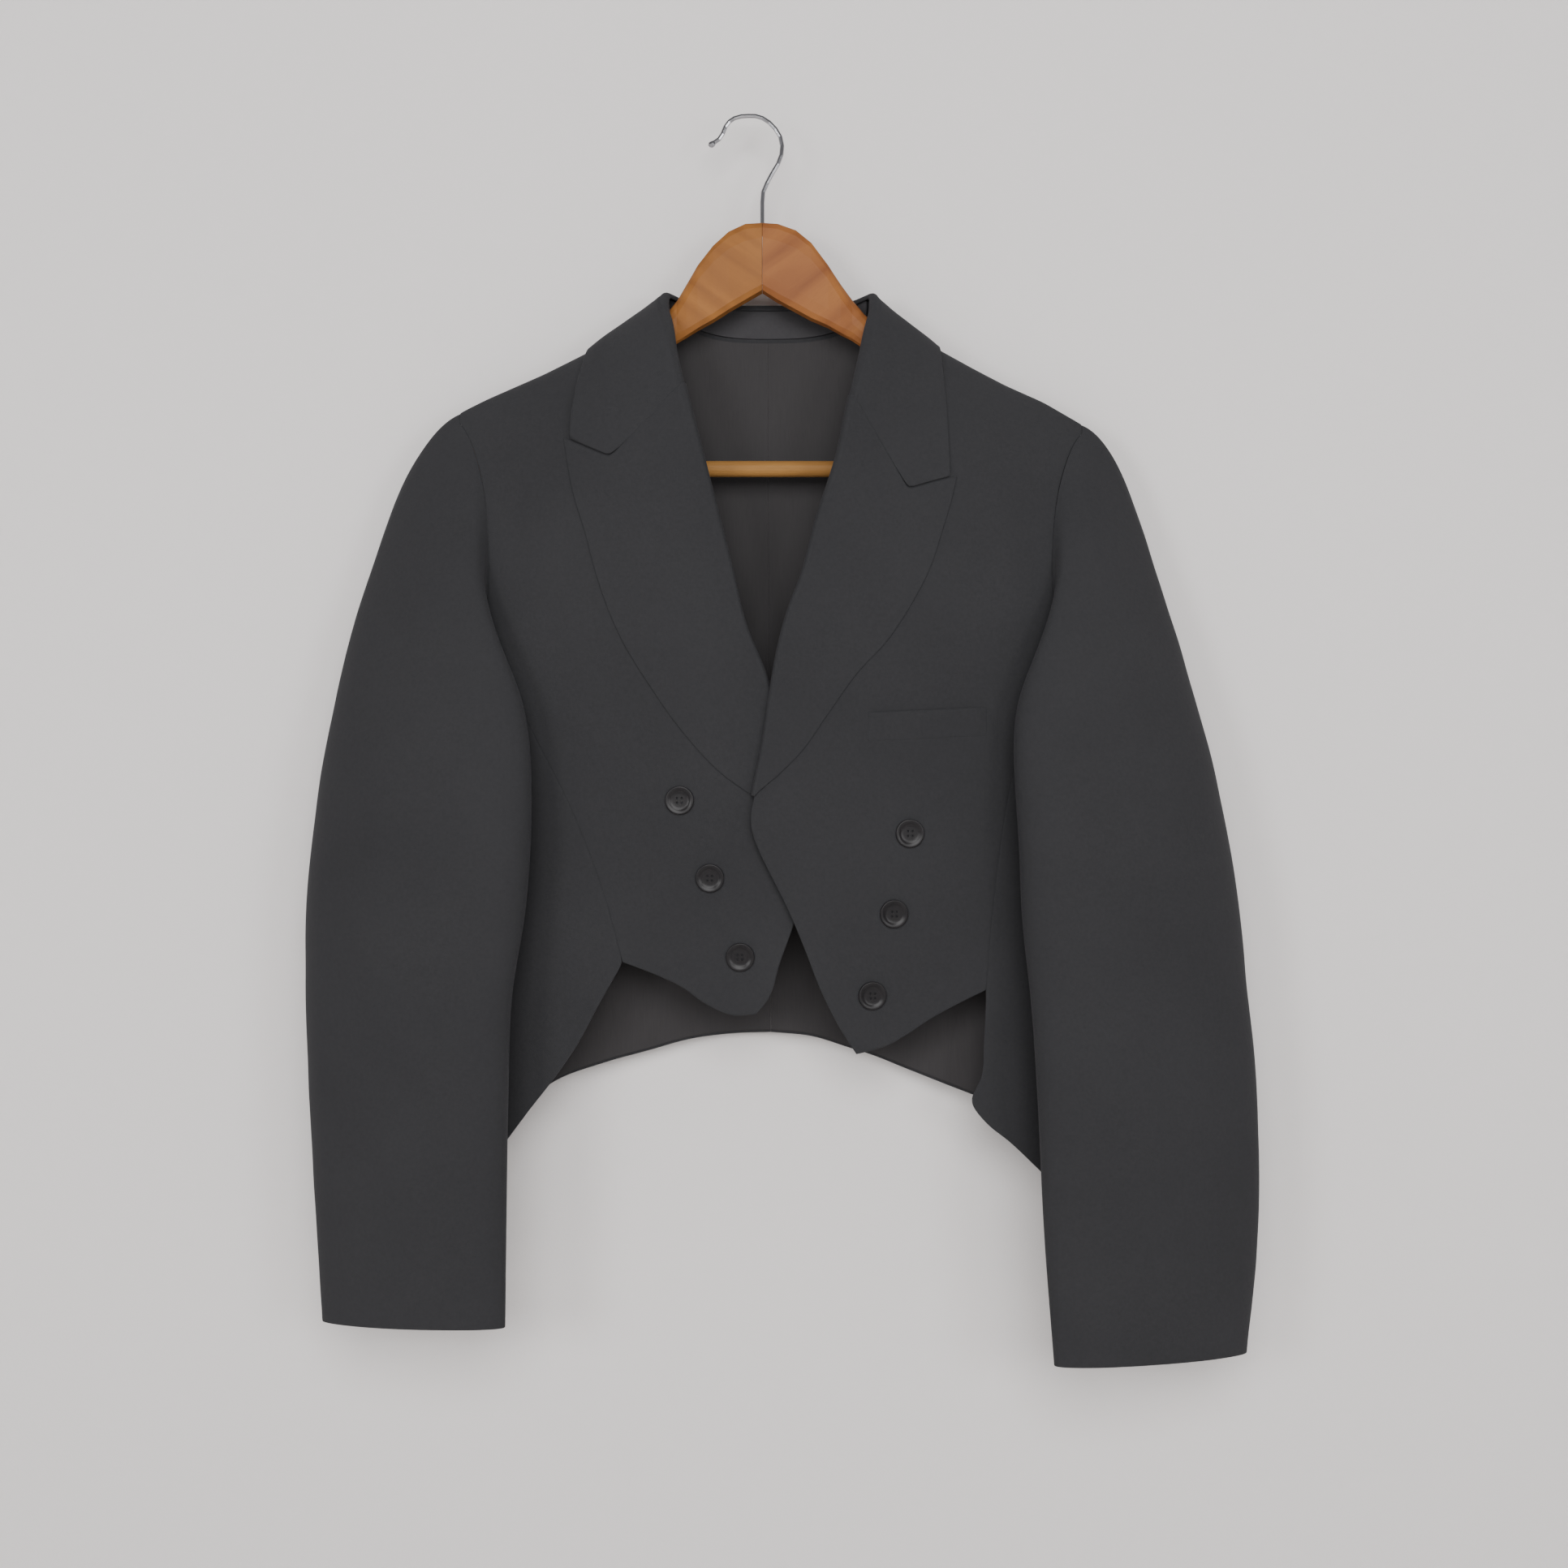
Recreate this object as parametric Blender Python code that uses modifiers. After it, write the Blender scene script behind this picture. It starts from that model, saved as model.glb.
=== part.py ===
"""A cropped double-breasted blazer with peaked lapels, closed on a wooden hanger.

The frame is in metres with +Z up. The front faces -Y and left is -X. The origin is at the inner
top of the hanger's hook, where it hangs on its peg. Tables are in millimetres.
"""
import math

import bmesh
import bpy
import numpy as np
from mathutils import Matrix, Vector
from mathutils.bvhtree import BVHTree

MM = 0.001
LEFT = -1
RIGHT = 1

# Rows and columns of the cloth's grids
SEAM_ROWS = 7
TAIL_ROWS = 6
FRONT_ARM_ROWS = 10
BACK_ARM_ROWS = 8
SIDE_COLUMNS = 6
FRONT_COLUMNS = 8
EDGE_SPACING = 1.15
BACK_COLUMNS = 10
LAPEL_ROWS = 16
LAPEL_COLUMNS = 6
CAP_STEPS = 6
SLEEVE_STEPS = 11
LINING_COLUMNS = 8

# Cloth
CLOTH = 1.6
LINING = 1.0
GAP = 0.3
FRONT_LIFT = 6.2
SIDE_MARGIN = 0.012
LIFT_END = 104.0
LIFT_RUN = 66.0

# Form of the body
FULLNESS = 2.3
FRONT_REACH = 130.0
FRONT_POWER = 0.65
BACK_REACH = 60.0
BACK_POWER = 0.6
CENTRE = 16.0

# height, half width, middle depth, front depth, back depth
BODY_LEVELS = (
    (-760, 212, -4, 33, 24),
    (-660, 206, -4, 36, 24),
    (-560, 202, -5, 40, 22),
    (-480, 208, -4, 43, 24),
    (-400, 222, -3, 44, 26),
    (-290, 236, -1, 45, 27),
    (-120, 236, 0, 44, 27),
)

# across, height of the shoulder line
SHOULDER_LINE = (
    (-222, -221),
    (-216, -217),
    (-203, -209),
    (-187, -201),
    (-146, -183),
    (-116, -168),
    (-88, -153),
    (-71, -142),
    (-58, -132),
    (14, -96),
    (88, -133),
    (99, -143),
    (115, -154),
    (132, -163),
    (161, -179),
    (184, -191),
    (211, -203),
    (242, -221),
    (248, -225),
)

# turn round the armhole from the shoulder over the front, half reach, rise from the armpit
ARMHOLE = (
    (0, 230, 1.00),
    (30, 215, 0.91),
    (60, 203, 0.72),
    (90, 198, 0.48),
    (120, 200, 0.25),
    (150, 210, 0.07),
    (180, 223, 0.00),
    (210, 216, 0.07),
    (240, 211, 0.26),
    (270, 209, 0.50),
    (300, 212, 0.74),
    (330, 219, 0.92),
    (360, 230, 1.00),
)
ARMHOLE_BOTTOM = -400.0
FRONT_SEAM_TURN = 142.0
BACK_SEAM_TURN = 232.0

# Front panels: across and height, from the lowest row to the neck, and from the hem corner to the armhole
LEFT_FRONT_EDGE = (
    (6, -636), (15, -625), (22, -602), (32, -574), (40, -543), (38, -515), (29, -495), (21, -450), (12, -403),
    (-3, -365), (-13, -325), (-22, -291), (-30, -262), (-39, -228), (-47, -197), (-53, -172), (-57, -148),
)
LEFT_FRONT_SEAM = ((-87, -600), (-101, -550), (-122, -495), (-148, -445), (-170, -405))
LEFT_FRONT_HEM = ((6, -636), (-9, -637), (-29, -629), (-46, -617), (-68, -607), (-87, -600))
RIGHT_FRONT_EDGE = (
    (76, -664), (64, -645), (51, -619), (39, -588), (28, -562), (14, -534), (6, -517), (2, -500), (5, -484),
    (12, -450), (18, -410), (23, -382), (31, -353), (39, -333), (51, -291), (65, -249), (74, -206), (82, -172),
    (87, -149),
)
RIGHT_FRONT_SEAM = ((167, -620), (172, -560), (180, -500), (190, -450), (202, -408))
RIGHT_FRONT_HEM = ((76, -664), (85, -662), (98, -658), (112, -650), (129, -639), (150, -628), (167, -620))

# Tails: the front edge of each side panel below the forepart, then its lowest point at the side
LEFT_TAIL_EDGE = ((-172, -729), (-154, -705), (-136, -682), (-120, -659), (-103, -628), (-87.5, -601))
RIGHT_TAIL_EDGE = ((209, -751), (184, -727), (167, -713), (157, -698), (164, -682), (166, -654), (167.5, -621))
SIDE_HEM = -744.0

# Back panels
# half reach and height of the seam of back and side panel, above the hem
BACK_SEAM = ((178, -640), (180, -560), (192, -480), (203, -410))
BACK_CENTRE = ((16, -655), (16, -560), (15, -400), (14, -250), (14, -153))
NECK_SHARE = 0.3
LEFT_BACK_HEM = ((16, -655), (-13, -656), (-43, -660), (-72, -668), (-105, -677), (-142, -691), (-166, -712))
RIGHT_BACK_HEM = ((16, -655), (46, -658), (72, -666), (88, -671), (116, -682), (163, -700), (198, -712))
LEFT_NECK = (-61, -134.3)
RIGHT_NECK = (91, -135.7)

LEFT_ROLL = LEFT_FRONT_EDGE[6:15]
RIGHT_ROLL = RIGHT_FRONT_EDGE[8:17]

# Lapels: lower edge from the break point, then the outer edge to the peak, then the gorge from the roll
LEFT_LAPEL_FOOT = ((29, -495), (24, -489), (1, -482))
LEFT_LAPEL_EDGE = (
    (1, -482), (-17, -469), (-46, -438), (-68, -407), (-88, -374), (-103, -337), (-114, -297),
    (-121, -275), (-126, -251), (-129, -233),
)
LEFT_GORGE = ((-47, -198), (-70, -222), (-96, -248), (-112, -241), (-129, -233))
RIGHT_LAPEL_FOOT = ((5, -484), (8, -481), (22, -469))
RIGHT_LAPEL_EDGE = (
    (22, -469), (36, -455), (56, -427), (76, -399), (98, -375), (112, -354), (128, -323), (136, -298),
    (142, -278), (146, -261),
)
RIGHT_GORGE = ((74, -207), (94, -240), (112, -271), (128, -266), (146, -261))
LAPEL = 1.2
ROLL_RADIUS = 2.7
LAPEL_SPRING = 1.6
CURL_TURNS = (200.0, 160.0, 120.0, 80.0, 40.0)

# Collar: centre of its roll over the neckline, way that it faces and rises there, and its outer edge
# across, depth, height, outward turn, upward share, edge across, edge depth, edge height
LEFT_COLLAR = (
    (-47.8, -34, -196, 0, 0.00, -124, -43, -232),
    (-52.5, -27, -176, 10, 0.10, -124, -37, -213),
    (-56.5, -19, -156, 35, 0.45, -121, -27, -190),
    (-59.0, -10.5, -140, 65, 0.85, -117, -13, -173),
    (-59.5, 0, -131.5, 90, 1.00, -112, 0, -163),
    (-55.5, 8, -128, 112, 1.00, -104, 13, -167),
    (-45.0, 16, -128, 140, 1.00, -84, 25, -173),
    (-23.0, 22, -128, 165, 1.00, -45, 30, -175),
    (14.0, 24.5, -128, 180, 1.00, 14, 31, -175),
)
RIGHT_COLLAR = (
    (74.8, -37, -205, 0, 0.00, 142, -44, -258),
    (80.0, -29, -182, 10, 0.10, 141, -37, -224),
    (85.0, -20, -159, 35, 0.45, 139, -27, -197),
    (88.5, -11.5, -142, 65, 0.85, 136, -13, -177),
    (89.5, 0, -132.5, 90, 1.00, 134, 0, -164),
    (85.5, 8, -128.5, 112, 1.00, 127, 13, -168),
    (75.0, 16, -128, 140, 1.00, 109, 25, -174),
    (52.0, 22, -128, 165, 1.00, 74, 30, -176),
    (14.0, 24.5, -128, 180, 1.00, 14, 31, -175),
)
COLLAR_STEPS = 18
COLLAR_ROLL = 3.5
COLLAR_BULGE = 1.2
COLLAR_CURL = (200.0, 150.0, 105.0, 60.0)
COLLAR_LIFT = 4.0
RIDGE_LIFT = 3.8
RIDGE_REACH = 22.0
NECK_JOIN = -138.0
NECK_BLEND = 8.0
LEAF_COLUMNS = 6
GORGE_FADE = 6
NOTCH_REACH = 0.955
NOTCH_GAP = 1.1
SLIT = 0.7
BODY_MIDDLE = -300.0
STAND_START = 0.56
STAND_STEPS = 14
STAND_ROWS = 3
STAND_GAP = 0.9

# Lining of the back: how far its lowest row stands above the back's own
LINING_HEM = 0.6

# Sleeves: outer point and inner point across, deep and high, then the half depth
LEFT_SLEEVE = (
    (-282, -6, -368, -150, -66, -424, 24),
    (-291, -11, -409, -148, -69, -460, 27),
    (-301, -17, -470, -148, -71, -505, 30),
    (-308, -24, -540, -152, -69, -562, 30),
    (-309, -30, -610, -161, -71, -622, 28),
    (-306, -36, -680, -163, -73, -686, 26),
    (-300, -42, -765, -164, -73, -766, 22),
    (-295, -46, -848, -165, -71, -847, 17),
)
RIGHT_SLEEVE = (
    (305, -6, -375, 181, -66, -428, 24),
    (318, -11, -420, 184, -69, -470, 27),
    (331, -17, -478, 187, -71, -515, 30),
    (342, -24, -545, 189, -69, -567, 30),
    (349, -30, -615, 195, -71, -628, 28),
    (355, -36, -690, 199, -73, -694, 26),
    (355, -42, -780, 203, -74, -782, 22),
    (347, -46, -870, 210, -72, -873, 17),
)
SLEEVE_TWIST = 56.0
SLEEVE_CLEARANCE = 4.0
SHOULDER_FREE = 20.0
ARMHOLE_GAP = 1.0
SLEEVE_SEAM = 0.22
START_PULL = 0.5
END_PULL = 0.8
# The back of the under sleeve passes below the armpit: turns on its rings, drop, share of the length
UNDER_TURNS = (205.0, 340.0)
UNDER_DROP = 100.0
UNDER_FADE = 0.5
# turn round the armhole, way in which the sleeve leaves it: outward, forward, down
SLEEVE_START = (
    (0, 1.05, 0.00, 0.50),
    (45, 0.80, 0.40, 0.55),
    (90, 0.50, 0.70, 0.50),
    (125, 0.45, 0.80, 0.40),
    (160, 0.30, 0.40, 0.80),
    (180, 0.30, 0.20, 1.00),
    (200, 0.80, 0.10, 1.00),
    (225, 1.30, 0.00, 1.10),
    (250, 1.30, -0.10, 1.10),
    (275, 0.80, -0.30, 0.70),
    (300, 0.80, -0.30, 0.55),
    (330, 0.90, -0.20, 0.55),
    (360, 1.05, 0.00, 0.50),
)
TOP_SEAM = 152.0
UNDER_SEAM = 296.0

# Breast pocket, buttons
WELT_TOP_LEFT = (84.0, -426.0)
WELT_TOP_RIGHT = (167.0, -422.0)
WELT_HEIGHT = 20.0
BUTTON_STEPS = 20
BUTTON_GAP = 0.6
# radius, height over the button's back
BUTTON_PROFILE = (
    (0.0, 1.8), (5.6, 2.0), (7.0, 2.9), (8.4, 3.3), (9.4, 2.9), (9.9, 2.0), (9.5, 1.0), (8.0, 0.3), (0.0, 0.0),
)
BUTTON_PLACES = (
    ("left", ((-47, -487), (-26, -541), (-5, -596))),
    ("right", ((113, -510), (102, -566), (87, -623))),
)

# Hanger
HANGER_JOINT = 10.0
# distance from the joint, top, bottom, half depth, squareness of the section
LEFT_ARM = (
    (0, -75.0, -125.0, 9.0, 0.45),
    (12, -75.5, -132.0, 9.0, 0.45),
    (24, -81.0, -139.0, 8.5, 0.45),
    (35, -91.0, -146.0, 8.5, 0.45),
    (46, -105.0, -152.0, 8.0, 0.50),
    (54, -118.5, -157.0, 7.0, 0.70),
    (61, -130.5, -161.0, 5.5, 1.00),
    (70, -141.0, -167.0, 5.5, 1.00),
    (84, -152.0, -176.0, 6.0, 1.00),
    (110, -167.5, -190.0, 6.0, 1.00),
    (140, -183.5, -206.0, 6.0, 1.00),
    (165, -196.5, -225.0, 6.0, 1.00),
    (174, -201.5, -253.0, 8.0, 0.95),
    (188, -209.0, -262.0, 8.0, 0.90),
    (200, -217.0, -260.0, 7.0, 0.90),
    (206, -226.0, -248.0, 6.0, 0.90),
)
RIGHT_ARM = (
    (0, -75.0, -125.0, 9.0, 0.45),
    (11, -75.5, -132.0, 9.0, 0.45),
    (24, -80.0, -139.0, 8.5, 0.45),
    (35, -89.0, -145.0, 8.5, 0.45),
    (47, -105.0, -150.0, 8.0, 0.50),
    (56, -118.5, -155.0, 7.0, 0.70),
    (64, -129.5, -159.0, 5.5, 1.00),
    (73, -140.0, -165.0, 5.5, 1.00),
    (88, -152.5, -176.0, 6.0, 1.00),
    (114, -168.0, -190.0, 6.0, 1.00),
    (144, -183.5, -207.0, 6.0, 1.00),
    (170, -196.5, -225.0, 6.0, 1.00),
    (180, -201.5, -253.0, 8.0, 0.95),
    (194, -208.5, -262.0, 8.0, 0.90),
    (206, -216.0, -260.0, 7.0, 0.90),
    (212, -225.0, -248.0, 6.0, 0.90),
)
ARM_SIDES = 14
BAR_SIDES = 20
BAR_RADIUS = 5.8
BAR_HEIGHT = -250.5
BAR_ENDS = (-174.0, 200.0)
WIRE_RADIUS = 1.6
# across, height, share of the wire's radius
HOOK_POINTS = (
    (-28.2, -19.8, 0.55), (-27.4, -19.2, 1.3), (-26.4, -18.6, 1.55), (-25.2, -17.8, 1.35), (-24.2, -17.0, 1.0),
    (-21.0, -14.8, 1.0), (-18.4, -11.0, 1.0), (-16.4, -6.0, 1.0), (-13.6, -2.2, 1.0), (-10.0, 0.2, 1.0),
    (-5.0, 1.6, 1.0), (0.0, 1.9, 1.0), (5.0, 1.8, 1.0), (10.0, 0.4, 1.0), (15.0, -2.8, 1.0), (19.4, -7.4, 1.0),
    (22.8, -13.0, 1.0), (24.2, -19.6, 1.0), (23.6, -26.0, 1.0), (21.2, -32.4, 1.0), (17.2, -39.0, 1.0),
    (13.4, -46.0, 1.0), (10.6, -52.6, 1.0), (10.0, -60.0, 1.0), (10.0, -70.0, 1.0), (10.0, -84.0, 1.0),
)


def clear_scene():
    for obj in list(bpy.data.objects):
        bpy.data.objects.remove(obj, do_unlink=True)


def new_collection(name):
    collection = bpy.data.collections.new(name)
    bpy.context.scene.collection.children.link(collection)
    return collection


def material(name, colour, roughness, metallic=0.0):
    made = bpy.data.materials.new(name)
    made.use_nodes = True
    shader = made.node_tree.nodes["Principled BSDF"]
    shader.inputs["Base Color"].default_value = (*colour, 1.0)
    shader.inputs["Roughness"].default_value = roughness
    shader.inputs["Metallic"].default_value = metallic
    made.diffuse_color = (*colour, 1.0)
    return made


def add_object(name, mesh, collection, finish):
    obj = bpy.data.objects.new(name, mesh)
    collection.objects.link(obj)
    mesh.materials.append(finish)
    return obj


def smooth(rows, share):
    """Point on the cubic curve through a table's rows, with share from 0 at the first row to 1 at the last."""
    rows = np.asarray(rows, float)
    steps = np.linalg.norm(np.diff(rows, axis=0), axis=1)
    marks = np.concatenate([[0.0], np.cumsum(steps)]) / steps.sum()
    return hermite(marks, rows, share)


def hermite(marks, rows, mark):
    """Value at a mark on the cubic curve whose rows stand at the given marks."""
    slopes = np.gradient(rows, marks, axis=0)
    first = int(np.clip(np.searchsorted(marks, mark) - 1, 0, len(marks) - 2))
    span = marks[first + 1] - marks[first]
    t = (mark - marks[first]) / span
    start = (2 * t**3 - 3 * t**2 + 1) * rows[first] + (t**3 - 2 * t**2 + t) * span * slopes[first]
    end = (3 * t**2 - 2 * t**3) * rows[first + 1] + (t**3 - t**2) * span * slopes[first + 1]
    return start + end


def table_at(table, key):
    """Values beside a key, read from the smooth curve through a table's first column."""
    rows = np.asarray(table, float)
    return hermite(rows[:, 0], rows[:, 1:], key)


def shoulder_height(across):
    rows = np.asarray(SHOULDER_LINE, float)
    return float(np.interp(across, rows[:, 0], rows[:, 1]))


def level(height):
    rows = np.asarray(BODY_LEVELS, float)
    return hermite(rows[:, 0], rows[:, 1:], float(np.clip(height, rows[0, 0], rows[-1, 0])))


def body_point(across, height, back):
    """Point on the outer face of the front or the back at a place in the front view."""
    half_width, middle, front_depth, back_depth = level(height)
    share = min(abs(across - CENTRE) / half_width, 1.0)
    fullness = (1.0 - share**FULLNESS) ** (1.0 / FULLNESS)
    drop = max(shoulder_height(across) - height, 0.0)
    if back:
        rise = 1.0 - (1.0 - min(drop / BACK_REACH, 1.0)) ** 2
        return np.array([across, middle + back_depth * fullness * rise**BACK_POWER, height])
    rise = 1.0 - (1.0 - min(drop / FRONT_REACH, 1.0)) ** 2
    return np.array([across, middle - front_depth * fullness * rise**FRONT_POWER, height])


def body_normal(across, height, back):
    """Outward direction of the front or the back, which points up along the shoulder line."""
    height = min(height, shoulder_height(across) - 0.6)
    step = 1.0
    sideways = body_point(across + step, height, back) - body_point(across - step, height, back)
    upwards = body_point(across, height, back) - body_point(across, height - step, back)
    outward = np.cross(upwards, sideways) if back else np.cross(sideways, upwards)
    return outward / np.linalg.norm(outward)


def ring_point(turn, height, side):
    """Point on the body at a turn from the centre front (0) past the side (90) to the centre back (180)."""
    half_width, middle, front_depth, back_depth = level(height)
    angle = math.radians(turn)
    across = CENTRE + side * half_width * abs(math.sin(angle)) ** (2.0 / FULLNESS)
    fullness = abs(math.cos(angle)) ** (2.0 / FULLNESS)
    drop = max(shoulder_height(across) - height, 0.0)
    if turn > 90.0:
        rise = 1.0 - (1.0 - min(drop / BACK_REACH, 1.0)) ** 2
        return np.array([across, middle + back_depth * fullness * rise**BACK_POWER, height])
    rise = 1.0 - (1.0 - min(drop / FRONT_REACH, 1.0)) ** 2
    return np.array([across, middle - front_depth * fullness * rise**FRONT_POWER, height])


def ring_turn(across, height, back):
    """Turn round the body of a place in the front view."""
    share = min(abs(across - CENTRE) / level(height)[0], 1.0)
    turn = math.degrees(math.asin(share ** (FULLNESS / 2.0)))
    return 180.0 - turn if back else turn


def ring_normal(turn, height, side):
    step = 1.0
    around = ring_point(turn + step, height, side) - ring_point(turn - step, height, side)
    upwards = ring_point(turn, height + step, side) - ring_point(turn, height - step, side)
    outward = np.cross(around, upwards) * side
    return outward / np.linalg.norm(outward)


def armhole_place(turn, side):
    """Place of the armhole seam in the front view, by its turn from the shoulder over the front."""
    reach, rise = table_at(ARMHOLE, turn % 360.0)
    widest = level(ARMHOLE_BOTTOM)[0]
    across = CENTRE + side * min(reach, widest)
    top = shoulder_height(CENTRE + side * min(ARMHOLE[0][1], widest))
    height = ARMHOLE_BOTTOM + (top - ARMHOLE_BOTTOM) * min(max(rise, 0.0), 1.0)
    return across, min(height, shoulder_height(across))


def armhole_point(turn, side):
    across, height = armhole_place(turn, side)
    return body_point(across, height, turn % 360.0 > 180.0)


def line_of(table):
    return lambda share: np.array(smooth(table, share))


def steps(count):
    return [i / count for i in range(count + 1)]


def panel_grid(inner, outer, bottom, top, columns, gap_inner=0.0, gap_outer=GAP / 2):
    """Places inside two long edges, given row by row, and two short ones, given as functions."""
    rows = len(inner) - 1
    grid = []
    for i, (start, end) in enumerate(zip(inner, outer)):
        v = i / rows
        length = max(np.linalg.norm(end - start), 1.0)
        line = []
        for j in range(columns + 1):
            u = gap_inner / length + (1 - (gap_inner + gap_outer) / length) * j / columns
            place = start + (end - start) * u
            place = place + (1 - v) ** 2 * (bottom(u) - inner[0] - (outer[0] - inner[0]) * u)
            place = place + v**2 * (top(u) - inner[-1] - (outer[-1] - inner[-1]) * u)
            line.append(place)
        grid.append(line)
    return grid


def wall_object(name, outer, inner, collection, finish):
    """Closed wall between an outer and an inner grid of points, in millimetres."""
    rows = len(outer)
    columns = len(outer[0])
    shell = bmesh.new()
    outside = [[shell.verts.new(Vector(p) * MM) for p in row] for row in outer]
    inside = [[shell.verts.new(Vector(p) * MM) for p in row] for row in inner]
    for i in range(rows - 1):
        for j in range(columns - 1):
            shell.faces.new((outside[i][j], outside[i][j + 1], outside[i + 1][j + 1], outside[i + 1][j]))
            shell.faces.new((inside[i][j], inside[i + 1][j], inside[i + 1][j + 1], inside[i][j + 1]))
    rim = [(0, j) for j in range(columns)]
    rim += [(i, columns - 1) for i in range(1, rows)]
    rim += [(rows - 1, j) for j in range(columns - 2, -1, -1)]
    rim += [(i, 0) for i in range(rows - 2, 0, -1)]
    for (i, j), (k, m) in zip(rim, rim[1:] + rim[:1]):
        shell.faces.new((outside[i][j], inside[i][j], inside[k][m], outside[k][m]))
    bmesh.ops.recalc_face_normals(shell, faces=shell.faces)
    mesh = bpy.data.meshes.new(name)
    shell.to_mesh(mesh)
    shell.free()
    mesh.shade_smooth()
    mesh.set_sharp_from_angle(angle=math.radians(40))
    return add_object(name, mesh, collection, finish)


def front_lift(across, side):
    """How far the right forepart lies in front of the left one."""
    if side == LEFT:
        return 0.0
    share = min(max((LIFT_END - across) / LIFT_RUN, 0.0), 1.0)
    return FRONT_LIFT * share * share * (3 - 2 * share)


def front_place(across, height, side, outward):
    """Point over a forepart, moved out from its outer face."""
    point = body_point(across, height, False)
    point = point + body_normal(across, height, False) * outward
    point[1] -= front_lift(across, side)
    return point


def front_normal(across, height, side):
    """Outward direction of a forepart where the right one rises over the left."""
    sideways = front_place(across + 5.0, height, side, 0.0) - front_place(across - 5.0, height, side, 0.0)
    upwards = front_place(across, height + 5.0, side, 0.0) - front_place(across, height - 5.0, side, 0.0)
    outward = np.cross(sideways, upwards)
    return outward / np.linalg.norm(outward)


def armhole_places(turns, side):
    return [np.array(armhole_place(turn, side)) for turn in turns]


def front_seam_places(side):
    """Seam of the forepart and the side panel, from the hem's corner to the armhole."""
    seam = LEFT_FRONT_SEAM if side == LEFT else RIGHT_FRONT_SEAM
    curve = line_of(seam + (armhole_place(FRONT_SEAM_TURN, side),))
    return [curve(share) for share in steps(SEAM_ROWS)]


def back_seam_places(side):
    """Seam of the back and the side panel, from the hem to the armhole."""
    corner = LEFT_BACK_HEM[-1] if side == LEFT else RIGHT_BACK_HEM[-1]
    seam = [corner] + [(CENTRE + side * reach, height) for reach, height in BACK_SEAM]
    curve = line_of(seam + [armhole_place(BACK_SEAM_TURN, side)])
    return [curve(share) for share in steps(TAIL_ROWS + SEAM_ROWS)]


def front_turns():
    return [FRONT_SEAM_TURN * (1 - share) for share in steps(FRONT_ARM_ROWS)]


def side_turns():
    return [FRONT_SEAM_TURN + (BACK_SEAM_TURN - FRONT_SEAM_TURN) * share for share in steps(SIDE_COLUMNS)]


def back_turns():
    return [BACK_SEAM_TURN + (360.0 - BACK_SEAM_TURN) * share for share in steps(BACK_ARM_ROWS)]


def panel_walls(grid, back, side, thickness, seam_start):
    """Outer and inner points of a panel. From seam_start on, the last row is a shoulder seam."""
    outside, inside = [], []
    for row, line in enumerate(grid):
        line_out, line_in = [], []
        for column, (across, height) in enumerate(line):
            height = min(height, shoulder_height(across))
            point = body_point(across, height, back)
            normal = body_normal(across, height, back)
            if row == len(grid) - 1 and column >= seam_start:
                point[1] += GAP / 2 if back else -GAP / 2
                normal[1] = 0.0
                normal = normal / np.linalg.norm(normal)
            if not back:
                point[1] -= front_lift(across, side)
            line_out.append(point)
            line_in.append(point - normal * thickness)
        outside.append(line_out)
        inside.append(line_in)
    return outside, inside


def front_edge_places(side):
    """Free edge of a forepart, row by row from the hem to the neck."""
    edge, neck = (LEFT_FRONT_EDGE, LEFT_NECK) if side == LEFT else (RIGHT_FRONT_EDGE, RIGHT_NECK)
    curve = line_of(edge + (neck,))
    return [curve(1 - (1 - share) ** EDGE_SPACING) for share in steps(SEAM_ROWS + FRONT_ARM_ROWS)]


def front_walls(side):
    hem, neck = (LEFT_FRONT_HEM, LEFT_NECK) if side == LEFT else (RIGHT_FRONT_HEM, RIGHT_NECK)
    inner = front_edge_places(side)
    outer = front_seam_places(side) + armhole_places(front_turns(), side)[1:]

    def shoulder(share):
        across = neck[0] + (outer[-1][0] - neck[0]) * share
        return np.array([across, shoulder_height(across)])

    grid = panel_grid(inner, outer, line_of(hem), shoulder, FRONT_COLUMNS)
    return panel_walls(grid, False, side, CLOTH, 0)


def front_panel(name, side, collection, finish):
    outside, inside = front_walls(side)
    return wall_object(name, outside, inside, collection, finish)


def back_walls(side):
    hem, neck = (LEFT_BACK_HEM, LEFT_NECK) if side == LEFT else (RIGHT_BACK_HEM, RIGHT_NECK)
    curve = line_of(BACK_CENTRE)
    inner = [curve(share) for share in steps(TAIL_ROWS + SEAM_ROWS + BACK_ARM_ROWS)]
    outer = back_seam_places(side) + armhole_places(back_turns(), side)[1:]
    centre = inner[-1]

    def top(share):
        if share < NECK_SHARE:
            part = share / NECK_SHARE
            return np.array([centre[0] + (neck[0] - centre[0]) * part, centre[1] + (neck[1] - centre[1]) * part**3])
        across = neck[0] + (outer[-1][0] - neck[0]) * (share - NECK_SHARE) / (1 - NECK_SHARE)
        return np.array([across, shoulder_height(across)])

    grid = panel_grid(inner, outer, line_of(hem), top, BACK_COLUMNS, gap_inner=GAP / 2)
    return panel_walls(grid, True, side, CLOTH, round(NECK_SHARE * BACK_COLUMNS))


def back_panel(name, side, collection, finish):
    outside, inside = back_walls(side)
    return wall_object(name, outside, inside, collection, finish)


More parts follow.
